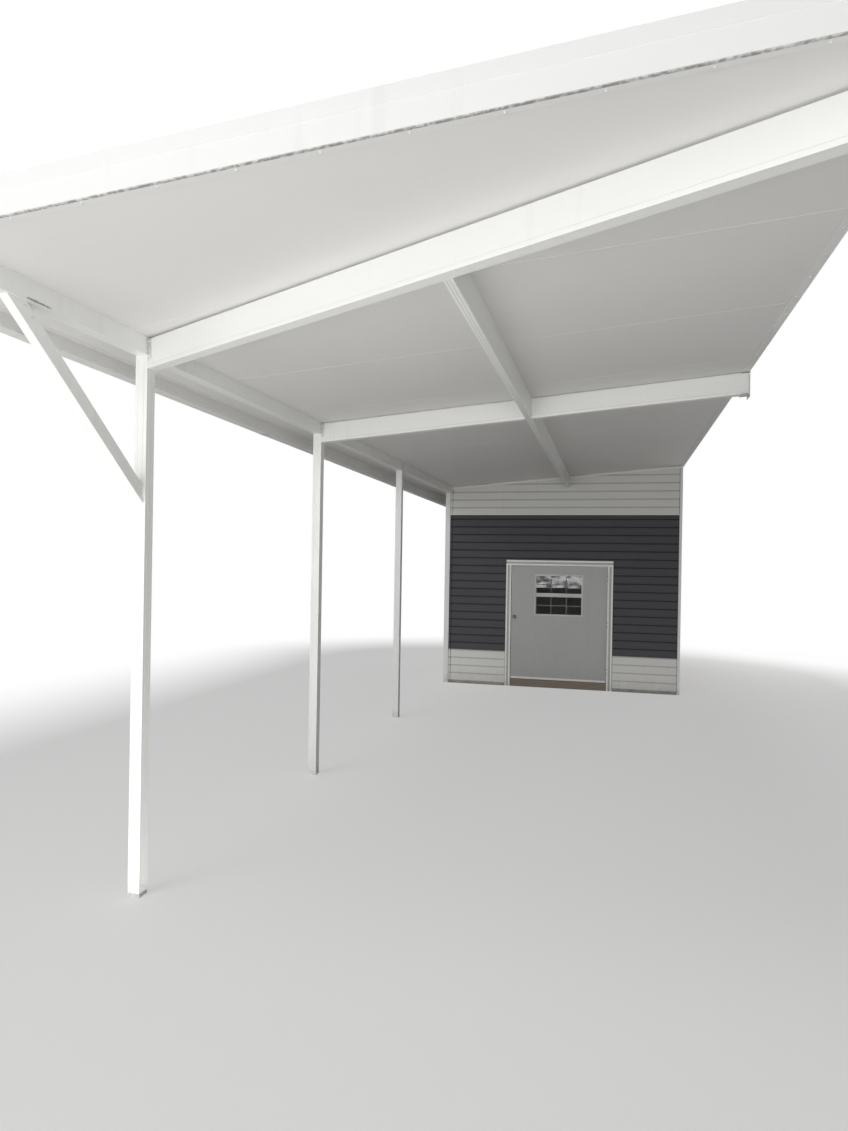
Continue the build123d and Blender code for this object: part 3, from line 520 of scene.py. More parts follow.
@dataclass(frozen=True)
class EdgeFinish(Finish):
    """Edge metal with a dark line along the roof's front lower edge, and painted shade on what hangs below
    the ceiling plane away from the front.
    """

    grime: float = 0.6
    reach: float = 0.012
    line: float = 0.75
    line_foot: float = -0.002
    line_head: float = 0.004
    front_depth: float = 0.003
    underside_shade: Colour = (0.76, 0.755, 0.735)

    def pattern(self, graph: Graph, where: object, colour: object) -> object:
        """Lays the dark line, the stipple of dirt over it and the painted shade on what hangs below the
        ceiling plane.

        Args:
            graph: The material's graph.
            where: The coordinates' socket.
            colour: The base colour.

        Returns:
            The stippled colour.
        """
        plane = ROOF_NORMAL.dot(Vector((EAVE_X, 0.0, CEILING_Z)))
        height = graph.minus(graph.compare("DOT_PRODUCT", where, ROOF_NORMAL), plane)
        band = graph.rest(graph.spread(height, 0.0, self.reach))
        fine = graph.spread(graph.noise(where, 150.0, detail=3, roughness=0.7), 0.5, 0.72)
        patches = graph.spread(graph.noise(where, 9.0, detail=3), 0.45, 0.7)
        front = graph.math("LESS_THAN", graph.axis(where, 1), ROOF_FRONT + self.front_depth)
        shaded_below = graph.times(graph.math("LESS_THAN", height, self.line_foot), graph.rest(front))
        # a dark line along the front's lower edge
        edge = graph.times(front, graph.rest(graph.spread(height, self.line_foot, self.line_head)))
        ragged = graph.plus(0.4, graph.times(graph.spread(graph.noise(where, 45.0), 0.35, 0.6), 0.6))
        # painted shade: parts below the ceiling plane, away from the front, get a darker colour
        colour = graph.blend(shaded_below, colour, self.underside_shade)
        colour = graph.blend(graph.times(band, fine, patches, front, self.grime), colour, self.dirt)
        return graph.blend(graph.times(edge, ragged, self.line), colour, self.dirt)


@dataclass(frozen=True)
class MarkedFinish(Finish):
    """A finish with a few dark rubbed marks drawn out along Y, each a centre and half its height."""

    marks: tuple[tuple[Point, float], ...] = ()
    drawn_out: float = 0.12
    raggedness: float = 0.012
    mark_share: float = 0.8

    def pattern(self, graph: Graph, where: object, colour: object) -> object:
        """Lays the marks.

        Args:
            graph: The material's graph.
            where: The coordinates' socket.
            colour: The base colour.

        Returns:
            The marked colour.
        """
        ragged = graph.times(graph.minus(graph.noise(where, 90.0, detail=3), 0.5), self.raggedness)
        drawn = graph.stretch(where, (1.0, self.drawn_out, 1.0))
        for (x, y, z), radius in self.marks:
            away = graph.plus(graph.compare("DISTANCE", drawn, (x, y * self.drawn_out, z)), ragged)
            mask = graph.rest(graph.spread(away, radius * 0.5, radius))
            colour = graph.blend(graph.times(mask, self.mark_share), colour, self.dirt)
        return colour


@dataclass(frozen=True)
class BoardFinish(GrainedFinish):
    """Boards laid side by side across X, each with its own tone and a dark joint."""

    board: float = 0.14
    joint: float = 0.004
    joint_colour: Colour = (0.03, 0.025, 0.02)

    def pattern(self, graph: Graph, where: object, colour: object) -> object:
        """Lays board tones and joints over the grain.

        Args:
            graph: The material's graph.
            where: The coordinates' socket.
            colour: The base colour.

        Returns:
            The boards' colour.
        """
        index = graph.math("FLOOR", graph.math("DIVIDE", graph.axis(where, 0), self.board))
        tone = graph.add("ShaderNodeTexWhiteNoise", noise_dimensions="1D")
        graph.feed(tone.inputs["W"], index)
        grained = super().pattern(graph, where, colour)
        toned = graph.blend(graph.times(tone.outputs[0], 0.35), grained, self.grain_colour)
        return graph.blend(self.gap(graph, where), toned, self.joint_colour)

    def gap(self, graph: Graph, where: object) -> Socket:
        """Builds the mask of the joints between boards, 1 in a joint."""
        inside = graph.math("FRACT", graph.math("DIVIDE", graph.axis(where, 0), self.board))
        return graph.math("LESS_THAN", inside, self.joint / self.board)

    def height(self, graph: Graph, where: object, relief: object) -> object:
        """Sinks the joints in the grain's relief."""
        return graph.minus(super().height(graph, where, relief), graph.times(self.gap(graph, where), 3.0))


@dataclass(frozen=True)
class GlassFinish:
    """Tinted window glass with a breath of dust."""

    name: str = "window glass"
    colour: Colour = (0.55, 0.57, 0.57)
    dusted: Colour = (0.6, 0.61, 0.6)

    def build(self, effects: Effects) -> Material:
        """Builds the material.

        Args:
            effects: The shared node groups.

        Returns:
            The finished material.
        """
        material, graph, shader = new_material(self.name)
        dust = Finish.place(graph, effects.drift, graph.coordinates(), Scale=6.0, Contrast=1.6)
        rough = graph.plus(graph.times(graph.spread(dust, 0.4, 1.0), 0.02), 0.004)
        graph.fill(shader, {"Base Color": graph.blend(dust, self.colour, self.dusted), "Roughness": rough,
                            "Transmission Weight": 1.0, "IOR": 1.5})
        return material


class Palette:
    """Every material of the carport, built once."""

    def __init__(self) -> None:
        """Builds the finishes."""
        effects = Effects()
        finishes = {**self.plain(), **self.grained(), "glass": GlassFinish()}
        self.materials = {key: finish.build(effects) for key, finish in finishes.items()}

    def __getitem__(self, key: str) -> Material:
        """Returns the material of a finish."""
        return self.materials[key]

    @staticmethod
    def beam_marks() -> tuple[tuple[Point, float], ...]:
        """Returns the rubbed marks on the eave beam's lower inner edge, in front of the first post."""
        marks = ((-5.55, 0.008), (-5.49, 0.006))
        return tuple(((EAVE_X, y, POST_TOP + 0.012), radius) for y, radius in marks)

    def plain(self) -> dict[str, Finish]:
        """Lists the finishes without a grain.

        Returns:
            The finishes by key.
        """
        return {
            "roof": Finish("white roof skin", (0.77, 0.765, 0.745), (0.71, 0.705, 0.69), roughness=0.5,
                           streaks=0.03, soil=0.0, relief_scale=180, peel_scale=26, bump=0.25),
            "edge": EdgeFinish("white edge metal", (0.88, 0.88, 0.87), (0.84, 0.84, 0.83), roughness=0.38,
                               streaks=0.05, soil=0.0, coat=0.15, bump=0.1, dirt=(0.09, 0.09, 0.08)),
            "gutter": Finish("white gutter metal", (0.83, 0.83, 0.81), (0.75, 0.75, 0.72), roughness=0.42,
                             streaks=0.3, soil=0.0, bump=0.12),
            "frame": MarkedFinish("white frame metal", (0.87, 0.87, 0.855), (0.82, 0.82, 0.8), roughness=0.4,
                                  streaks=0.08, soil=0.3, soil_height=0.14, coat=0.1, bump=0.1,
                                  dirt=(0.16, 0.15, 0.13), marks=self.beam_marks()),
            # painted shade: the brackets are darker than the frame so the clips stand out against the beams,
            # as their shaded edges do
            "bracket": Finish("bracket metal darkened as painted shade", (0.72, 0.72, 0.7), (0.6, 0.6, 0.58), roughness=0.4,
                              drift_scale=9, streaks=0.4, soil=0.0, bump=0.1),
            "trim": Finish("white trim vinyl", (0.85, 0.85, 0.83), (0.8, 0.8, 0.78), roughness=0.5,
                           streaks=0.08, soil=0.35, soil_height=0.16, bump=0.15),
            # painted shade in the casing's groove, from RecessFinish
            "casing": RecessFinish("white casing paint", (0.9, 0.9, 0.88), (0.86, 0.86, 0.84), roughness=0.45,
                                   streaks=0.08, soil=0.35, soil_height=0.16, bump=0.15,
                                   near=WALL_Y - 0.0185, far=WALL_Y - 0.0105),
            "window frame": Finish("pale window frame", (0.57, 0.57, 0.56), (0.5, 0.5, 0.49), roughness=0.45,
                                   drift_scale=3.0, streaks=0.1, soil=0.0, bump=0.12),
            "knob": Finish("worn knob metal", (0.3, 0.27, 0.22), (0.16, 0.145, 0.12), roughness=0.32,
                           metallic=1.0, drift_scale=60, streaks=0.0, soil=0.0, bump=0.1),
            # painted shade: a near-black sheet behind the siding, so that the gaps by the trims and channels
            # read dark
            "membrane": Finish("painted shade backing", (0.025, 0.025, 0.027), (0.015, 0.015, 0.016),
                               roughness=0.85, streaks=0.0, soil=0.0),
            "bars": Finish("grey window bars", (0.2, 0.2, 0.21), (0.16, 0.16, 0.17), roughness=0.45,
                           streaks=0.0, soil=0.0, drift_scale=9),
            "concrete": Finish("plinth concrete", (0.42, 0.41, 0.39), (0.3, 0.295, 0.28), roughness=0.85,
                               drift_scale=3.0, drift_contrast=1.6, streaks=0.15, soil=0.55, soil_height=0.07,
                               relief_scale=90, peel_scale=14, bump=0.7, dirt=(0.14, 0.125, 0.1)),
        }

    @staticmethod
    def grained() -> dict[str, GrainedFinish]:
        """Lists the finishes with a grain.

        Returns:
            The finishes by key.
        """
        return {
            # the lap colours below are painted shade, with some dust, under each course's butt
            "white siding": LapFinish("white siding vinyl", (0.76, 0.755, 0.725), (0.71, 0.705, 0.675),
                                      roughness=0.55, streaks=0.06, soil=0.3, soil_height=0.28, bump=0.3,
                                      direction=Direction.LEVEL, grain_tone=0.08, lap_shade_share=0.6,
                                      grain_colour=(0.62, 0.62, 0.59), lap_shade_colour=(0.3, 0.3, 0.285)),
            "grey siding": LapFinish("charcoal siding vinyl", (0.082, 0.079, 0.09), (0.067, 0.064, 0.074),
                                     roughness=0.62, specular=0.25, streaks=0.04, soil=0.08, soil_height=0.7,
                                     bump=0.3, direction=Direction.LEVEL, grain_tone=0.3, lap_shade_share=0.85,
                                     grain_colour=(0.11, 0.106, 0.12), lap_shade_colour=(0.008, 0.008, 0.008)),
            "door": GrainedFinish("pale grey door paint", (0.42, 0.425, 0.42), (0.375, 0.38, 0.375),
                                  roughness=0.42, drift_scale=2.2, streaks=0.1, soil=0.3, soil_height=0.45,
                                  bump=0.14, direction=Direction.ALONG_Z, grain_scale=9, grain_tone=0.25,
                                  grain_colour=(0.33, 0.335, 0.33)),
            "timber": GrainedFinish("weathered timber", (0.3, 0.25, 0.2), (0.22, 0.18, 0.145), roughness=0.8,
                                    streaks=0.2, soil=0.4, bump=0.5, grain_tone=0.6,
                                    grain_colour=(0.12, 0.095, 0.075)),
            "wall board": GrainedFinish("inner wall board", (0.62, 0.55, 0.43), (0.54, 0.47, 0.36),
                                        roughness=0.75, streaks=0.1, soil=0.2, bump=0.25,
                                        direction=Direction.ALONG_Z, grain_scale=40, grain_tone=0.25,
                                        grain_colour=(0.4, 0.31, 0.21)),
            "floor": BoardFinish("storage floor boards", (0.42, 0.33, 0.23), (0.34, 0.26, 0.18),
                                 roughness=0.7, streaks=0.0, soil=0.25, bump=0.5,
                                 direction=Direction.ALONG_Y, grain_tone=0.4, grain_colour=(0.2, 0.14, 0.09)),
        }


# Geometry node trees


def geometry_tree(name: str, inputs: dict[str, tuple[str, object]]) -> tuple[Tree, Graph, dict]:
    """Starts a geometry node tree with a Geometry input, named inputs and a Geometry output.

    Args:
        name: The tree's name.
        inputs: Socket type and default of each named input.

    Returns:
        The tree, its graph and its group input's sockets by name.
    """
    tree = bpy.data.node_groups.new(name, "GeometryNodeTree")
    for side in ("INPUT", "OUTPUT"):
        tree.interface.new_socket("Geometry", in_out=side, socket_type="NodeSocketGeometry")
    for label, (kind, value) in inputs.items():
        socket = tree.interface.new_socket(label, in_out="INPUT", socket_type=f"NodeSocket{kind}")
        if value is not None:
            socket.default_value = value
    graph = Graph(tree)
    return tree, graph, graph.add("NodeGroupInput").outputs


def end_tree(graph: Graph, instances: Socket, material: Socket) -> None:
    """Ends a tree in Realize Instances and Set Material.

    Args:
        graph: The tree's graph.
        instances: The instances' socket.
        material: The material's socket.
    """
    real = graph.add("GeometryNodeRealizeInstances", {0: instances})
    dressed = graph.add("GeometryNodeSetMaterial", {"Geometry": real.outputs[0], "Material": material})
    graph.add("NodeGroupOutput", {0: dressed.outputs[0]})


class Repeats:
    """The two geometry node trees: courses stacked evenly, and fasteners on points."""

    def __init__(self) -> None:
        """Builds both trees."""
        self.courses = self._courses()
        self.fasteners = self._fasteners()

    def _courses(self) -> Tree:
        """Builds a tree that stacks copies of its input along a step.

        Returns:
            The tree.
        """
        inputs = {"Count": ("Int", 4), "Step": ("Vector", None), "Material": ("Material", None)}
        tree, graph, start = geometry_tree("Courses", inputs)
        spacing = {"Count": start["Count"], "Offset": start["Step"]}
        line = graph.add("GeometryNodeMeshLine", spacing, mode="OFFSET")
        copies = graph.add("GeometryNodeInstanceOnPoints", {"Points": line.outputs[0],
                                                            "Instance": start["Geometry"]})
        end_tree(graph, copies.outputs[0], start["Material"])
        return tree

    def _fasteners(self) -> Tree:
        """Builds a tree that sets a hexagon washer screw on each vertex of its input.

        Each vertex carries the vector attribute facing, the way its screw stands out.

        Returns:
            The tree.
        """
        inputs = {"Head Radius": ("Float", 0.005), "Head Height": ("Float", 0.004),
                  "Washer Radius": ("Float", 0.008), "Washer Height": ("Float", 0.0015),
                  "Seed": ("Int", SEED), "Material": ("Material", None)}
        tree, graph, start = geometry_tree("Hexagon screws", inputs)
        parts = graph.add("GeometryNodeJoinGeometry")
        for sides, part, under in ((12, "Washer", None), (6, "Head", "Washer Height")):
            radius, height = start[f"{part} Radius"], start[f"{part} Height"]
            sizes = {"Vertices": sides, "Radius": radius, "Depth": height}
            barrel = graph.add("GeometryNodeMeshCylinder", sizes)
            lift = graph.times(height, 0.5)
            if under:
                lift = graph.plus(lift, start[under])
            offset = graph.add("ShaderNodeCombineXYZ", {2: lift})
            moved = graph.add("GeometryNodeTransform", {"Geometry": barrel.outputs[0],
                                                        "Translation": offset.outputs[0]})
            graph.feed(parts.inputs[0], moved.outputs[0])
        facing = graph.add("GeometryNodeInputNamedAttribute", {"Name": "facing"}, data_type="FLOAT_VECTOR")
        aimed = graph.add("FunctionNodeAlignRotationToVector", {"Vector": facing.outputs[0]}, axis="Z")
        copies = graph.add("GeometryNodeInstanceOnPoints", {
            "Points": start["Geometry"], "Instance": parts.outputs[0], "Rotation": aimed.outputs[0]})
        turn = graph.add("FunctionNodeRandomValue", {3: math.pi, "Seed": start["Seed"]}, data_type="FLOAT")
        spin = graph.add("ShaderNodeCombineXYZ", {2: turn.outputs[1]})
        turned = graph.add("GeometryNodeRotateInstances", {"Instances": copies.outputs[0],
                                                           "Rotation": spin.outputs[0]})
        end_tree(graph, turned.outputs[0], start["Material"])
        return tree


def new_object(name: str, data: bpy.types.ID) -> bpy.types.Object:
    """Makes an object and links it to the scene.

    Args:
        name: The object's name.
        data: Its mesh, light or camera.

    Returns:
        The new object.
    """
    made = bpy.data.objects.new(name, data)
    bpy.context.scene.collection.objects.link(made)
    return made


def run_tree(mesh: Mesh, tree: Tree, values: dict[str, object]) -> Mesh:
    """Runs a geometry node tree on a mesh and returns the result as a plain mesh.

    Args:
        mesh: The tree's input.
        tree: The tree.
        values: Its inputs by name.

    Returns:
        A new plain mesh.
    """
    holder = new_object("holder", mesh)
    modifier = holder.modifiers.new("nodes", "NODES")
    modifier.node_group = tree
    for item in tree.interface.items_tree:
        if item.item_type == "SOCKET" and item.in_out == "INPUT" and item.name in values:
            modifier[item.identifier] = values[item.name]
    holder.update_tag()
    bpy.context.view_layer.update()
    evaluated = holder.evaluated_get(bpy.context.evaluated_depsgraph_get())
    plain = bpy.data.meshes.new_from_object(evaluated)
    holder.modifiers.clear()
    bpy.data.objects.remove(holder)
    return plain


# Meshes


def add_bar(form: Form, lowest: Point, highest: Point, chamfer: float = 0.0) -> None:
    """Adds a closed bar between two corners.

    Args:
        form: The mesh to add to.
        lowest: Lowest corner.
        highest: Highest corner.
        chamfer: Width of the chamfer on every edge; 0 leaves them sharp.
    """
    made = bmesh.ops.create_cube(form, size=1.0)["verts"]
    size = Vector(highest) - Vector(lowest)
    centre = (Vector(highest) + Vector(lowest)) / 2
    for vertex in made:
        vertex.co = vertex.co * size + centre
    if chamfer:
        edges = list({edge for vertex in made for edge in vertex.link_edges})
        bmesh.ops.bevel(form, geom=edges, offset=chamfer, segments=2, affect="EDGES", profile=0.6)


def add_run(form: Form, section: Outline, start: Point, end: Point, side: Vector) -> None:
    """Adds a closed run of a section from one point to another.

    Args:
        form: The mesh to add to.
        section: The section's outline, as distances along side and up.
        start: Where the run starts.
        end: Where it ends.
        side: Direction of the section's first number.
    """
    rings = [[form.verts.new(Vector(place) + side * a + UP * b) for a, b in section]
             for place in (start, end)]
    count = len(section)
    faces = [form.faces.new(rings[0]), form.faces.new(list(reversed(rings[1])))]
    for index in range(count):
        after = (index + 1) % count
        faces.append(form.faces.new([rings[0][index], rings[1][index], rings[1][after], rings[0][after]]))
    bmesh.ops.recalc_face_normals(form, faces=faces)


def cut(form: Form, point: Vector, normal: Vector) -> None:
    """Cuts off what lies beyond a plane and closes the cut.

    Args:
        form: The mesh to cut.
        point: A point on the plane.
        normal: The plane's normal, towards what goes.
    """
    geometry = form.verts[:] + form.edges[:] + form.faces[:]
    bmesh.ops.bisect_plane(form, geom=geometry, plane_co=point, plane_no=normal, clear_outer=True, dist=1e-6)
    rims = [edge for edge in form.edges if edge.is_boundary]
    if rims:
        bmesh.ops.holes_fill(form, edges=rims, sides=0)


def as_mesh(form: Form, name: str) -> Mesh:
    """Turns a mesh form into a mesh.

    Args:
        form: The mesh form; it is freed.
        name: The mesh's name.

    Returns:
        The new mesh.
    """
    mesh = bpy.data.meshes.new(name)
    form.to_mesh(mesh)
    form.free()
    return mesh


def keep_piece(shape: Form | Mesh, name: str, body: str, material: Material) -> None:
    """Makes a piece of a shape, dresses it and lets it ride on a body.

    Args:
        shape: The mesh, or a mesh form, which is freed.
        name: The piece's name.
        body: The CAD body it rides on.
        material: Its material.
    """
    mesh = as_mesh(shape, name) if isinstance(shape, Form) else shape
    mesh.name = name
    mesh.materials.clear()
    mesh.materials.append(material)
    piece = new_object(name, mesh)
    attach(piece, body)
    LOG.info("%s: %d faces on %s", name, len(mesh.polygons), body)


# Sub-assemblies


@dataclass(frozen=True)
class Stretch:
    """One stretch of sided wall in its own frame, which looks outward along -Y.

    The eave is where it lies along X of that frame, or None where the wall's top is level.
    """

    place: Matrix
    start: float
    end: float
    bottom: float
    top: float
    eave: float | None
    start_channel: bool = True
    end_channel: bool = True

    def roof(self, x: float) -> float:
        """Returns the ceiling's height over a place along the stretch."""
        return self.top if self.eave is None else CEILING_Z + self.uphill() * (x - self.eave) * PITCH

    def uphill(self) -> int:
        """Returns 1 where the ceiling rises along X of the stretch's frame, and -1 where it falls."""
        return 1 if self.eave is None or self.eave < 0 else -1


@dataclass
class Siding:
    """Lap siding on the room's three outer walls, charcoal between white bands, over a concrete plinth."""

    palette: Palette
    repeats: Repeats
    course: float = 0.127
    butt: float = 0.0165
    butt_height: float = 0.004
    head: float = 0.003
    hem: float = 0.005
    hem_depth: float = 0.003
    plinth: float = 0.052
    plinth_depth: float = 0.0175
    plinth_gap: float = 0.002
    plinth_chamfer: float = 0.003
    membrane: float = 0.0015
    lower_band: float = 0.56
    upper_band: float = 2.78
    least_band: float = 0.002
    over_roof: float = 4.0
    channel: float = 0.03
    channel_depth: float = 0.018
    channel_over: float = 0.01
    channel_chamfer: float = 0.0012
    reveal: float = 0.006
    shadow: float = 0.018
    top_strip: float = 0.024
    top_gap: float = 0.012
    ceiling_gap: float = 0.001
    corner_width: float = 0.08
    corner_return: float = 0.07
    end_trim: float = 0.04
    forms: dict[str, Form] = field(default_factory=dict)

    def build(self) -> None:
        """Builds the courses, channels, strips, dark backing and plinth of all stretches; the backing is
        painted shade in the gaps between the courses and the trims.
        """
        names = {"white siding": "white_siding", "grey siding": "grey_siding", "trim": "siding_strips",
                 "membrane": "wall_shade_backing", "concrete": "plinth"}
        self.forms = {tone: bmesh.new() for tone in names}
        for stretch in self.stretches():
            self.cover(stretch)
        for tone, form in self.forms.items():
            keep_piece(form, names[tone], BODY, self.palette[tone])

    def stretches(self) -> list[Stretch]:
        """Lists the sided stretches.

        Returns:
            The stretches beside and over the doorway, on the eave side and on the back.
        """
        left, right = low("corner_trims").x + self.corner_width, high("party_wall").x - self.end_trim
        casing_low, casing_high = low("door_head"), high("door_head")
        split, rear, side_x = casing_high.z + self.reveal, high("rear_wall").y, low("left_wall").x
        front = Matrix.Translation((0, WALL_Y, 0))
        side = Matrix.Translation((side_x, 0, 0)) @ Matrix.Rotation(-math.pi / 2, 4, "Z")
        back = Matrix.Translation((0, rear, 0)) @ Matrix.Rotation(math.pi, 4, "Z")
        eave_top = ceiling(side_x - self.butt) - self.ceiling_gap
        return [
            Stretch(front, left, casing_low.x, 0.0, split, EAVE_X, True, False),
            Stretch(front, casing_high.x, right, 0.0, split, EAVE_X, False, False),
            Stretch(front, left, right, split, self.over_roof, EAVE_X, True, False),
            Stretch(side, self.corner_return - rear, -self.corner_return - WALL_Y, 0.0, eave_top, None),
            Stretch(back, -right, -left, 0.0, self.over_roof, -EAVE_X, False, True),
        ]

    def cover(self, stretch: Stretch) -> None:
        """Covers one stretch.

        Args:
            stretch: The stretch.
        """
        start = stretch.start + self.margin(stretch.start_channel)
        end = stretch.end - self.margin(stretch.end_channel)
        for tone, foot, head in (("white siding", self.plinth, self.lower_band),
                                 ("grey siding", self.lower_band, self.upper_band - self.shadow),
                                 ("white siding", self.upper_band, self.over_roof)):
            base, top = max(foot, stretch.bottom), min(head, stretch.top)
            if top - base > self.least_band:
                form = self.stack(start, end, foot, head, tone)
                self.edge_channels(form, stretch, base, top)
                self.fit(form, stretch, base, top, tone)
        # painted shade: a near-black sheet behind the courses fills the gaps at the channels and trims
        sheet = bmesh.new()
        base, top = max(self.plinth, stretch.bottom), min(self.over_roof, stretch.top)
        add_bar(sheet, (stretch.start, -self.membrane, base), (stretch.end, 0.0, top))
        self.fit(sheet, stretch, base, top, "membrane")
        if stretch.bottom < self.plinth:
            footing = bmesh.new()
            head = (stretch.end, 0.0, self.plinth - self.plinth_gap)
            add_bar(footing, (stretch.start, -self.plinth_depth, 0.0), head, self.plinth_chamfer)
            self.fit(footing, stretch, 0.0, self.plinth, "concrete")
        if stretch.top > self.upper_band:
            self.strips(stretch)

    def margin(self, has_channel: bool) -> float:
        """Returns how far the courses end from the stretch's own end."""
        return self.reveal + (self.channel + self.reveal if has_channel else 0.0)

    def edge_channels(self, form: Form, stretch: Stretch, base: float, top: float) -> None:
        """Adds the channels that the courses end in.

        Args:
            form: The band's mesh.
            stretch: The stretch.
            base: The band's foot.
            top: The band's head, before the roof cuts it.
        """
        for wanted, near in ((stretch.start_channel, stretch.start + self.reveal),
                             (stretch.end_channel, stretch.end - self.reveal - self.channel)):
            if wanted:
                head = (near + self.channel, 0.0, top + self.channel_over)
                add_bar(form, (near, -self.channel_depth, base), head, self.channel_chamfer)

    def fit(self, form: Form, stretch: Stretch, base: float, top: float, tone: str) -> None:
        """Cuts a form to its band and the roof, and puts it on its wall.

        Args:
            form: The form; it is freed.
            stretch: The stretch it belongs to.
            base: The band's foot.
            top: The band's head.
            tone: The finish it goes to.
        """
        cut(form, Vector((0, 0, base)), -UP)
        cut(form, Vector((0, 0, top)), UP)
        if stretch.eave is not None:
            normal = Vector((-stretch.uphill() * math.sin(SLOPE), 0, math.cos(SLOPE)))
            cut(form, Vector((stretch.eave, 0, CEILING_Z - self.ceiling_gap)), normal)
        form.transform(stretch.place)
        band = as_mesh(form, "band")
        self.forms[tone].from_mesh(band)
        bpy.data.meshes.remove(band)

    def stack(self, start: float, end: float, bottom: float, top: float, tone: str) -> Form:
        """Stacks courses from a height up.

        Args:
            start: First end along X.
            end: Second end.
            bottom: Where the first course starts.
            top: Height that the courses reach at least.
            tone: The band's finish.

        Returns:
            The stacked courses.
        """
        inner, rim = self.butt - self.hem_depth, self.course + 0.8 * self.hem
        section = [(0.0, self.hem), (inner, self.hem), (inner, 0.0), (self.butt, 0.0),
                   (self.butt, self.butt_height), (self.head, rim), (0.0, rim)]
        lap = bmesh.new()
        add_run(lap, section, (start, 0, bottom), (end, 0, bottom), OUT)
        count = math.ceil((top - bottom) / self.course)
        values = {"Count": count, "Step": (0.0, 0.0, self.course), "Material": self.palette[tone]}
        stacked = run_tree(as_mesh(lap, "lap"), self.repeats.courses, values)
        courses = bmesh.new()
        courses.from_mesh(stacked)
        bpy.data.meshes.remove(stacked)
        return courses

    def strips(self, stretch: Stretch) -> None:
        """Adds the lip at the foot of the upper band and the strip under the ceiling.

        Args:
            stretch: The stretch.
        """
        form = bmesh.new()
        lip = [(0.0, -0.004), (0.016, -0.004), (0.0175, -0.0025), (0.0175, 0.006), (0.016, 0.0075),
               (0.0, 0.0075)]
        foot, head = -self.top_gap - self.top_strip, -self.top_gap
        strip = [(0.0, foot), (0.0155, foot), (0.017, foot + 0.0015), (0.017, head), (0.0, head)]
        ends = (stretch.start, stretch.end)
        add_run(form, lip, *[(x, 0.0, self.upper_band) for x in ends], OUT)
        add_run(form, strip, *[(x, 0.0, stretch.roof(x)) for x in ends], OUT)
        self.fit(form, stretch, 0.0, self.over_roof, "trim")


@dataclass
class DoorLight:
    """Bars in both sashes of the door's light, the beads round its panes and the leaf's sweep."""

    palette: Palette
    bar: float = 0.012
    bar_depth: float = 0.0045
    bar_chamfer: float = 0.001
    cross_front: float = 0.0006
    cross_back: float = 0.0003
    bead: float = 0.006
    bead_depth: float = 0.0085
    bead_chamfer: float = 0.0012
    glass_gap: float = 0.0002
    columns: int = 3
    rows: int = 2
    sweep_margin: float = 0.012
    sweep_depth: float = 0.004
    sweep_foot: float = 0.002
    sweep_head: float = 0.034

    def build(self) -> None:
        """Builds the bars, the beads round the panes and the sweep under the leaf."""
        bars, beads = bmesh.new(), bmesh.new()
        corners = [vertex.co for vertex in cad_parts["door_glass"].data.vertices]
        middle = (low("door_glass").z + high("door_glass").z) / 2
        for above in (True, False):
            pane = [corner for corner in corners if (corner.z > middle) == above]
            lowest = Vector(min(corner[axis] for corner in pane) for axis in range(3))
            highest = Vector(max(corner[axis] for corner in pane) for axis in range(3))
            self.divide(bars, lowest, highest)
            self.seat(beads, lowest, highest)
        keep_piece(bars, "window_bars", DOOR, self.palette["bars"])
        keep_piece(beads, "window_beads", DOOR, self.palette["trim"])
        self.sweep()

    def divide(self, form: Form, lowest: Vector, highest: Vector) -> None:
        """Adds the bars in front of one pane.

        Args:
            form: The mesh to add to.
            lowest: The pane's lowest corner.
            highest: The pane's highest corner.
        """
        half = self.bar / 2
        front, back = lowest.y - self.bar_depth, lowest.y - self.glass_gap
        for index in range(1, self.columns):
            x = lowest.x + (highest.x - lowest.x) * index / self.columns
            add_bar(form, (x - half, front, lowest.z), (x + half, back, highest.z), self.bar_chamfer)
        for index in range(1, self.rows):
            z = lowest.z + (highest.z - lowest.z) * index / self.rows
            add_bar(form, (lowest.x, front + self.cross_front, z - half),
                    (highest.x, back - self.cross_back, z + half), self.bar_chamfer)

    def seat(self, form: Form, lowest: Vector, highest: Vector) -> None:
        """Adds the bead that holds one pane, in front of it.

        Args:
            form: The mesh to add to.
            lowest: The pane's lowest corner.
            highest: The pane's highest corner.
        """
        front, back, bead = lowest.y - self.bead_depth, lowest.y - self.glass_gap, self.bead
        for lower, upper in (((lowest.x, lowest.z), (lowest.x + bead, highest.z)),
                             ((highest.x - bead, lowest.z), (highest.x, highest.z)),
                             ((lowest.x + bead, lowest.z), (highest.x - bead, lowest.z + bead)),
                             ((lowest.x + bead, highest.z - bead), (highest.x - bead, highest.z))):
            add_bar(form, (lower[0], front, lower[1]), (upper[0], back, upper[1]), self.bead_chamfer)

    def sweep(self) -> None:
        """Adds the metal sweep along the leaf's foot."""
        leaf, right = low("door_leaf"), high("door_leaf").x
        form = bmesh.new()
        add_bar(form, (leaf.x + self.sweep_margin, leaf.y - self.sweep_depth, leaf.z + self.sweep_foot),
                (right - self.sweep_margin, leaf.y, leaf.z + self.sweep_head), self.bar_chamfer)
        keep_piece(form, "door_sweep", DOOR, self.palette["edge"])


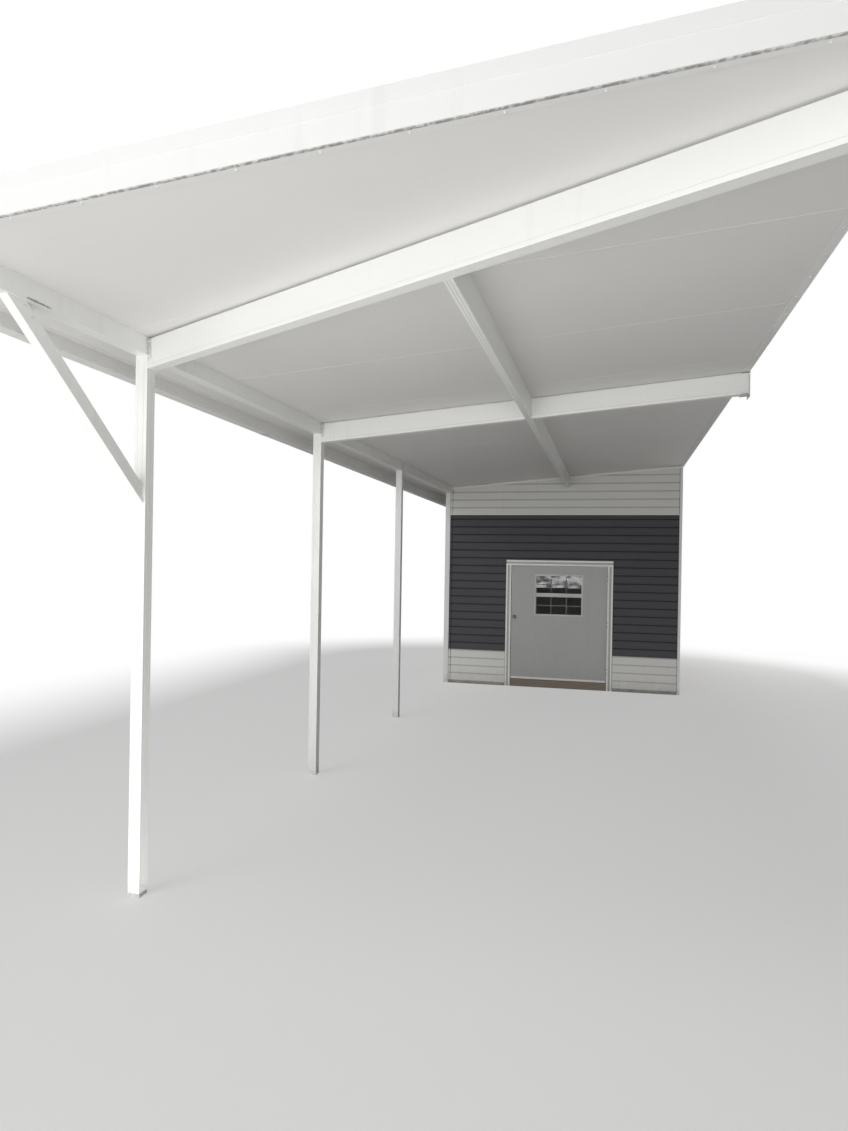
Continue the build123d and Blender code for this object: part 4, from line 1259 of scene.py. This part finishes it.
@dataclass
class GutterJoints:
    """Sleeves that close the joints between the gutter's lengths, on its base and lower face."""

    palette: Palette
    thickness: float = 0.0014
    length: float = 0.1
    fall: float = 0.094
    gap: float = 0.0002
    places: tuple[float, ...] = (-2.3, 1.85)

    def build(self) -> None:
        """Builds the sleeves along the gutter's fall."""
        form = bmesh.new()
        rear, back, base = high("gutter").y, high("gutter").x, low("gutter").z
        inner = [(-0.004, 0.0), (-0.09, 0.0), (-0.093, 0.026), (-0.103, 0.044), (-0.117, 0.061)]
        outer = [(-0.1178, 0.0596), (-0.1042, 0.0434), (-0.0944, 0.0258), (-0.0912, -self.thickness),
                 (-0.004, -self.thickness)]
        slope = self.fall / (ROOF_REAR - ROOF_FRONT)
        for y in self.places:
            ends = [(back, end, base + (rear - end) * slope - self.gap) for end in (y, y + self.length)]
            add_run(form, inner + outer, *ends, ACROSS)
        # the sleeves take the bracket finish, which is darkened as painted shade
        keep_piece(form, "gutter_joints", BODY, self.palette["bracket"])


@dataclass
class Screws:
    """Hexagon washer screws in the sheet metal, brackets, brace and straps, and flat ones in the hinges.

    The sizes of a screw are its head's radius and height and its washer's radius.
    """

    palette: Palette
    repeats: Repeats
    hexagon: tuple[float, float, float] = (0.0045, 0.0038, 0.0075)
    flat: tuple[float, float, float] = (0.0025, 0.0006, 0.0036)
    spacing: float = 0.305
    beam_half: float = 0.0341
    clip: float = 0.003
    clip_leg: float = 0.016
    clip_flange: float = 0.0115
    leg_drops: tuple[float, ...] = (0.03, 0.07, 0.11)
    flange_drops: tuple[float, ...] = (0.035, 0.08)
    plate_drops: tuple[float, ...] = (0.05, 0.115, 0.18)
    plate_half: float = 0.052
    tie_half: float = 0.021
    tie_heights: tuple[float, ...] = (-0.075, -0.03, 0.028, 0.07)
    front_advance: float = 1.24
    sheet: float = 0.004
    end_margin: float = 0.12
    lip_depth: float = 0.018
    trim_depth: float = 0.08
    trim_top: float = 0.1041
    ledger_lip: float = 0.03
    ledger_cap: float = 0.005
    ledger_margin: float = 0.2
    beam_clearance: float = 0.09
    cap_top: float = 0.1304
    brace_foot: float = 0.05
    brace_head: float = 0.06
    brace_steps: tuple[float, ...] = (0.05, 0.11)
    brace_lift: float = 0.012
    strap_heights: tuple[float, ...] = (0.45, 1.5, 2.45)
    strap_half: float = 0.052
    strap_lift: float = 0.015
    strap_out: float = 0.002
    hinge_margin: float = 0.18
    frame_hinge_half: float = 0.008
    leaf_hinge_half: float = 0.0305
    frame_reach: float = 0.012
    leaf_reach: float = -0.013
    spots: list[tuple[Vector, Vector]] = field(default_factory=list)

    def build(self) -> None:
        """Plants the screws of both bodies."""
        self.edges()
        self.ledger()
        self.brackets()
        self.brace()
        self.straps()
        self.plant("screws", BODY, "edge", self.hexagon)
        for node, body, reach, tone in (("frame_hinges", BODY, self.frame_reach, "casing"),
                                        ("door_hinges", DOOR, self.leaf_reach, "door")):
            self.hinges(reach)
            self.plant(f"{node}_screws", body, tone, self.flat)

    def plant(self, name: str, body: str, tone: str, sizes: tuple[float, float, float]) -> None:
        """Makes one piece of the spots collected so far and clears them.

        Args:
            name: The piece's name.
            body: The CAD body it rides on.
            tone: Its finish.
            sizes: The heads' radius and height, and the washers' radius.
        """
        points = bpy.data.meshes.new("spots")
        points.from_pydata([place for place, _ in self.spots], [], [])
        facing = points.attributes.new("facing", "FLOAT_VECTOR", "POINT")
        facing.data.foreach_set("vector", [number for _, way in self.spots for number in way.normalized()])
        values = dict(zip(("Head Radius", "Head Height", "Washer Radius"), sizes))
        values |= {"Seed": SEED, "Material": self.palette[tone]}
        keep_piece(run_tree(points, self.repeats.fasteners, values), name, body, self.palette[tone])
        self.spots = []

    def spot(self, place: Point | Vector, way: Vector) -> None:
        """Adds one screw's place and the way it faces."""
        self.spots.append((Vector(place), way))

    def row(self, start: Point, end: Point, way: Vector) -> None:
        """Adds spots at even distances from one point to another.

        Args:
            start: First spot.
            end: Last spot.
            way: The way they face.
        """
        line = Vector(end) - Vector(start)
        steps = max(1, math.floor(line.length / self.spacing))
        for index in range(steps + 1):
            self.spot(Vector(start) + line * (index / steps), way)

    def edges(self) -> None:
        """Adds the rows under the edge channels' lips and on the feet of the raised trims."""
        near, far = low("front_fascia").x + self.end_margin, HOUSE_X - self.end_margin
        for edge, inward in ((ROOF_FRONT, 1), (ROOF_REAR, -1)):
            for depth, drop, way in ((self.lip_depth, self.sheet, -ROOF_NORMAL),
                                     (self.trim_depth, -self.trim_top, ROOF_NORMAL)):
                y = edge + inward * depth
                self.row((near, y, ceiling(near, drop)), (far, y, ceiling(far, drop)), way)

    def ledger(self) -> None:
        """Adds the rows under and on the channel along the house, clear of the beams' ends."""
        beams = (POST_Y - self.front_advance, MIDDLE_Y)
        front, rear = ROOF_FRONT + self.ledger_margin, ROOF_REAR - self.ledger_margin
        x = HOUSE_X - self.ledger_lip
        count = math.floor((WALL_Y - ROOF_FRONT - 2 * self.ledger_margin) / self.spacing)
        for index in range(count + 1):
            y = front + index * self.spacing
            if all(abs(y - beam) > self.beam_clearance for beam in beams):
                self.spot((x, y, ceiling(x, self.sheet)), -ROOF_NORMAL)
        x -= self.ledger_cap
        cap = ceiling(x, -self.cap_top)
        self.row((x, front, cap), (x, rear, cap), ROOF_NORMAL)

    def brackets(self) -> None:
        """Adds the screws of the beams' hangers and corner clips, and of the rear post's tie."""
        for y, advance in ((POST_Y, self.front_advance), (MIDDLE_Y, 0.0)):
            start = Vector((EAVE_X, y, CEILING_Z))
            end = Vector((HOUSE_X, y - advance, ceiling(HOUSE_X)))
            way = (end - start).normalized()
            side = ROOF_NORMAL.cross(way)
            for turn in (1, -1):
                out = side * turn
                for drop in self.leg_drops:
                    leg = start + out * (self.beam_half + self.clip) - ROOF_NORMAL * drop
                    self.spot(leg + way * ((self.clip_leg - leg.x + EAVE_X) / way.x), out)
                for drop in self.flange_drops:
                    mark = start + out * (self.beam_half + self.clip_flange) - ROOF_NORMAL * drop
                    mark -= way * ((mark.x - EAVE_X) / way.x)
                    self.spot(mark + ACROSS * self.clip, ACROSS)
                plate = y - advance + turn * self.plate_half
                for drop in self.plate_drops:
                    self.spot((HOUSE_X - self.sheet, plate, ceiling(HOUSE_X) - drop), -ACROSS)
        for y in (-self.tie_half, self.tie_half):
            for z in self.tie_heights:
                self.spot((EAVE_X + self.clip, REAR_Y + y, POST_TOP + z), ACROSS)

    def brace(self) -> None:
        """Adds two screws on both faces of the knee brace at each end."""
        lowest, highest = low("knee_brace"), high("knee_brace")
        way = Vector((0, highest.y - lowest.y, lowest.z - highest.z)).normalized()
        rise = Vector((0, -way.z, way.y))
        foot = Vector((0, highest.y, lowest.z + self.brace_foot))
        head = Vector((0, lowest.y + self.brace_head, highest.z))
        for x, out in ((lowest.x, -ACROSS), (highest.x, ACROSS)):
            for end, inward in ((foot, -1), (head, 1)):
                for step in self.brace_steps:
                    place = end + way * inward * step + rise * self.brace_lift
                    self.spot((x, place.y, place.z), out)

    def straps(self) -> None:
        """Adds a screw in both ears of each downspout strap."""
        spout = (low("downspout").y + high("downspout").y) / 2
        x = low("corner_trims").x - self.strap_out
        for z in self.strap_heights:
            for y in (-self.strap_half, self.strap_half):
                self.spot((x, spout + y, z + self.strap_lift), -ACROSS)

    def hinges(self, reach: float) -> None:
        """Adds the screws of one half of the door's hinges.

        Args:
            reach: From the opening's hinge edge to the screws, along X; on the leaf where it is negative.
        """
        bottom, top = low("door_leaf").z + self.hinge_margin, high("door_leaf").z - self.hinge_margin
        on_frame = reach > 0
        edge = low("door_jambs").x + CASING_WIDTH + OPENING_WIDTH if on_frame else high("door_leaf").x
        face = low("door_head" if on_frame else "door_leaf").y - self.clip
        half = self.frame_hinge_half if on_frame else self.leaf_hinge_half
        for share in (0.0, 0.5, 1.0):
            for offset in (-half, half):
                self.spot((edge + reach, face, bottom + (top - bottom) * share + offset), OUT)


@dataclass(frozen=True)
class Lamp:
    """One light of the studio: a panel where it has a size, and otherwise a sun.

    Energy is in watts for a panel. Tilt is in degrees about X from facing down, and turn is in degrees
    about Z after that.
    """

    name: str
    energy: float
    tilt: float
    turn: float
    size: tuple[float, float] | None = None
    place: Point = (0.0, 0.0, 0.0)
    sun_width: float = 24.0

    def build(self) -> None:
        """Adds the light; the camera, glossy surfaces and panes don't see a panel."""
        glow = bpy.data.lights.new(self.name, "AREA" if self.size else "SUN")
        glow.energy = self.energy
        light = new_object(self.name, glow)
        light.rotation_euler = (math.radians(self.tilt), 0.0, math.radians(self.turn))
        if self.size:
            glow.shape = "RECTANGLE"
            glow.size, glow.size_y = self.size
            light.location = self.place
            for ray in ("camera", "glossy", "transmission"):
                setattr(light, f"visible_{ray}", False)
        else:
            glow.angle = math.radians(self.sun_width)


@dataclass
class Stage:
    """The pale floor, the soft studio light and the camera."""

    eye_height: float = 1.959
    eye_from_eave: float = 2.63
    eye_from_front: float = 2.399
    yaw: float = 14.2
    pitch: float = -0.126
    roll: float = 0.951
    focal_pixels: float = 751.0
    long_side: float = 1131.0
    sensor: float = 36.0
    sky: float = 0.29
    bright_side: Point = (-0.85, -0.5, 0.15)
    sky_middle: float = 0.55
    sky_swing: float = 0.8
    sky_least: float = 0.16
    floor_half: float = 60.0
    floor_height: float = -0.0005
    floor_colour: Colour = (0.72, 0.715, 0.705)
    floor_roughness: float = 0.9
    fade: float = 6.0
    paleness: float = 0.4
    card_size: tuple[float, float] = (9.0, 2.3)
    card_place: Point = (1.0, ROOF_FRONT - 6.0, 2.3)
    lamps: tuple[Lamp, ...] = (
        Lamp("high light", 0.3, 30.0, -32.0),
        Lamp("low light", 0.5, 80.0, -24.0),
        Lamp("drive light", 56.0, 180.0, 0.0, (5.0, 3.4), (-1.0, ROOF_FRONT + 0.4, 0.02)),
        Lamp("yard light", 178.0, 100.0, 0.0, (7.0, 3.0), (-3.0, ROOF_FRONT - 4.2, 1.8)),
        Lamp("side light", 125.0, 99.0, 32.0, (6.0, 2.4), (4.2, ROOF_FRONT - 5.5, 1.6)),
        Lamp("roof light", 110.0, 0.0, 0.0, (4.0, 12.0), (0.0, 0.0, 4.6)),
        Lamp("rear light", 200.0, 95.0, 143.0, (6.0, 2.8), (6.0, ROOF_REAR + 4.0, 1.8)),
    )

    def build(self) -> None:
        """Sets the view transform and makes the floor, lights, card and camera."""
        bpy.context.scene.view_settings.view_transform = "Standard"
        self.floor()
        self.world()
        for lamp in self.lamps:
            lamp.build()
        self.card()
        self.camera()

    @staticmethod
    def sheet(name: str, size: float, material: Material) -> bpy.types.Object:
        """Makes a flat square for the stage.

        Args:
            name: The object's name.
            size: Half its side.
            material: Its material.

        Returns:
            The new object, level at height 0.
        """
        form = bmesh.new()
        bmesh.ops.create_grid(form, x_segments=1, y_segments=1, size=size)
        made = new_object(name, as_mesh(form, name))
        made.data.materials.append(material)
        return made

    def floor(self) -> None:
        """Makes the pale floor, which the camera sees fade to white away from the carport."""
        material, graph, shader = new_material("studio floor")
        graph.fill(shader, {"Base Color": as_rgba(self.floor_colour), "Roughness": self.floor_roughness})
        place = graph.add("ShaderNodeSeparateXYZ", {0: graph.coordinates()}).outputs
        beyond = []
        for axis, half in ((0, HOUSE_X), (1, ROOF_REAR)):
            past = graph.minus(graph.math("ABSOLUTE", place[axis]), half)
            beyond.append(graph.math("MAXIMUM", past, 0.0))
        squares = graph.plus(*[graph.times(value, value) for value in beyond])
        away = graph.spread(graph.math("SQRT", squares), 0.0, self.fade)
        pale = graph.math("MAXIMUM", away, self.paleness)
        seen = graph.times(pale, graph.add("ShaderNodeLightPath").outputs["Is Camera Ray"])
        glow = graph.add("ShaderNodeEmission")
        mix = graph.add("ShaderNodeMixShader", {0: seen, 1: shader.outputs[0], 2: glow.outputs[0]})
        graph.fill(material.node_tree.nodes["Material Output"], {0: mix.outputs[0]})
        floor = self.sheet("floor", self.floor_half, material)
        for vertex in floor.data.vertices:
            vertex.co.z = self.floor_height

    def world(self) -> None:
        """Lights the scene with a sky that dims to the right and is white to the camera and through panes."""
        world = bpy.data.worlds.new("studio")
        world.use_nodes = True
        graph = Graph(world.node_tree)
        path = graph.add("ShaderNodeLightPath").outputs
        seen = graph.math("MAXIMUM", path["Is Camera Ray"], path["Is Transmission Ray"])
        toward = Vector(self.bright_side).normalized()
        toward = graph.compare("DOT_PRODUCT", graph.coordinates("Generated"), toward)
        share = graph.plus(self.sky_middle, graph.times(toward, self.sky_swing))
        share = graph.math("MAXIMUM", share, self.sky_least)
        strength = graph.math("MAXIMUM", graph.times(share, self.sky), seen)
        graph.fill(world.node_tree.nodes["Background"], {"Strength": strength, "Color": (1.0, 1.0, 1.0, 1.0)})
        bpy.context.scene.world = world

    def card(self) -> None:
        """Hangs a mottled bright card behind the camera, which only panes and polished metal show."""
        material, graph, _ = new_material("reflection card")
        drawn = graph.stretch(graph.coordinates(), (1.0, 1.0, 1.6))
        mottle = graph.spread(graph.noise(drawn, 3.2, detail=8, roughness=0.7), 0.4, 0.57)
        glow = graph.add("ShaderNodeEmission", {"Strength": graph.plus(1.0, graph.times(mottle, 8.0))})
        graph.fill(material.node_tree.nodes["Material Output"], {0: glow.outputs[0]})
        card = self.sheet("reflection card", 0.5, material)
        (wide, tall), (x, y, z) = self.card_size, self.card_place
        for vertex in card.data.vertices:
            vertex.co = Vector((vertex.co.x * wide + x, y, z + vertex.co.y * tall))
        for ray in ("camera", "diffuse", "transmission", "volume_scatter", "shadow"):
            setattr(card, f"visible_{ray}", False)

    def camera(self) -> None:
        """Makes the camera at the photograph's place and angle."""
        data = bpy.data.cameras.new("camera")
        data.sensor_fit = "AUTO"
        data.sensor_width = self.sensor
        data.lens = self.focal_pixels / self.long_side * self.sensor
        data.clip_end = 200.0
        camera = new_object("camera", data)
        place = Vector((EAVE_X + self.eye_from_eave, ROOF_FRONT - self.eye_from_front, self.eye_height))
        turn = (Matrix.Rotation(math.radians(self.yaw), 4, "Z")
                @ Matrix.Rotation(math.radians(90 + self.pitch), 4, "X")
                @ Matrix.Rotation(math.radians(self.roll), 4, "Z"))
        camera.matrix_world = Matrix.Translation(place) @ turn
        bpy.context.scene.camera = camera


def dress_nodes(palette: Palette) -> None:
    """Gives every CAD node its finish on all its slots.

    Args:
        palette: The materials.
    """
    finishes = {
        "roof": [f"roof_panel_{index:02d}" for index in range(1, 11)],
        "edge": ["front_fascia", "rear_fascia", "edge_trims", "eave_fascia", "ledger_channel"],
        "gutter": ["gutter", "downspout", "gutter_straps"],
        "frame": [*POSTS, "eave_beam", "front_beam", "middle_beam_left", "middle_beam_right", "purlin",
                  "knee_brace"],
        "bracket": ["beam_brackets"],
        "wall board": ["front_wall_left", "front_wall_right", "front_wall_over_door", "left_wall",
                       "party_wall", "rear_wall"],
        "trim": ["corner_trims"],
        "casing": ["door_jambs", "door_head", "frame_hinges"],
        "window frame": ["door_window_frame"],
        "floor": ["storage_floor"],
        "timber": ["door_sill"],
        "door": ["door_leaf", "door_hinges"],
        "glass": ["door_glass"],
        "knob": ["door_knob"],
    }
    for key, nodes in finishes.items():
        for name in nodes:
            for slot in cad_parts[name].material_slots:
                slot.material = palette[key]
            LOG.info("%s: dressed in %s", name, palette[key].name)


def main() -> None:
    logging.basicConfig(level=logging.INFO, format="%(message)s")
    palette, repeats = Palette(), Repeats()
    dress_nodes(palette)
    Siding(palette, repeats).build()
    DoorLight(palette).build()
    GutterJoints(palette).build()
    Screws(palette, repeats).build()
    Stage().build()


if __name__ == "__main__":
    main()
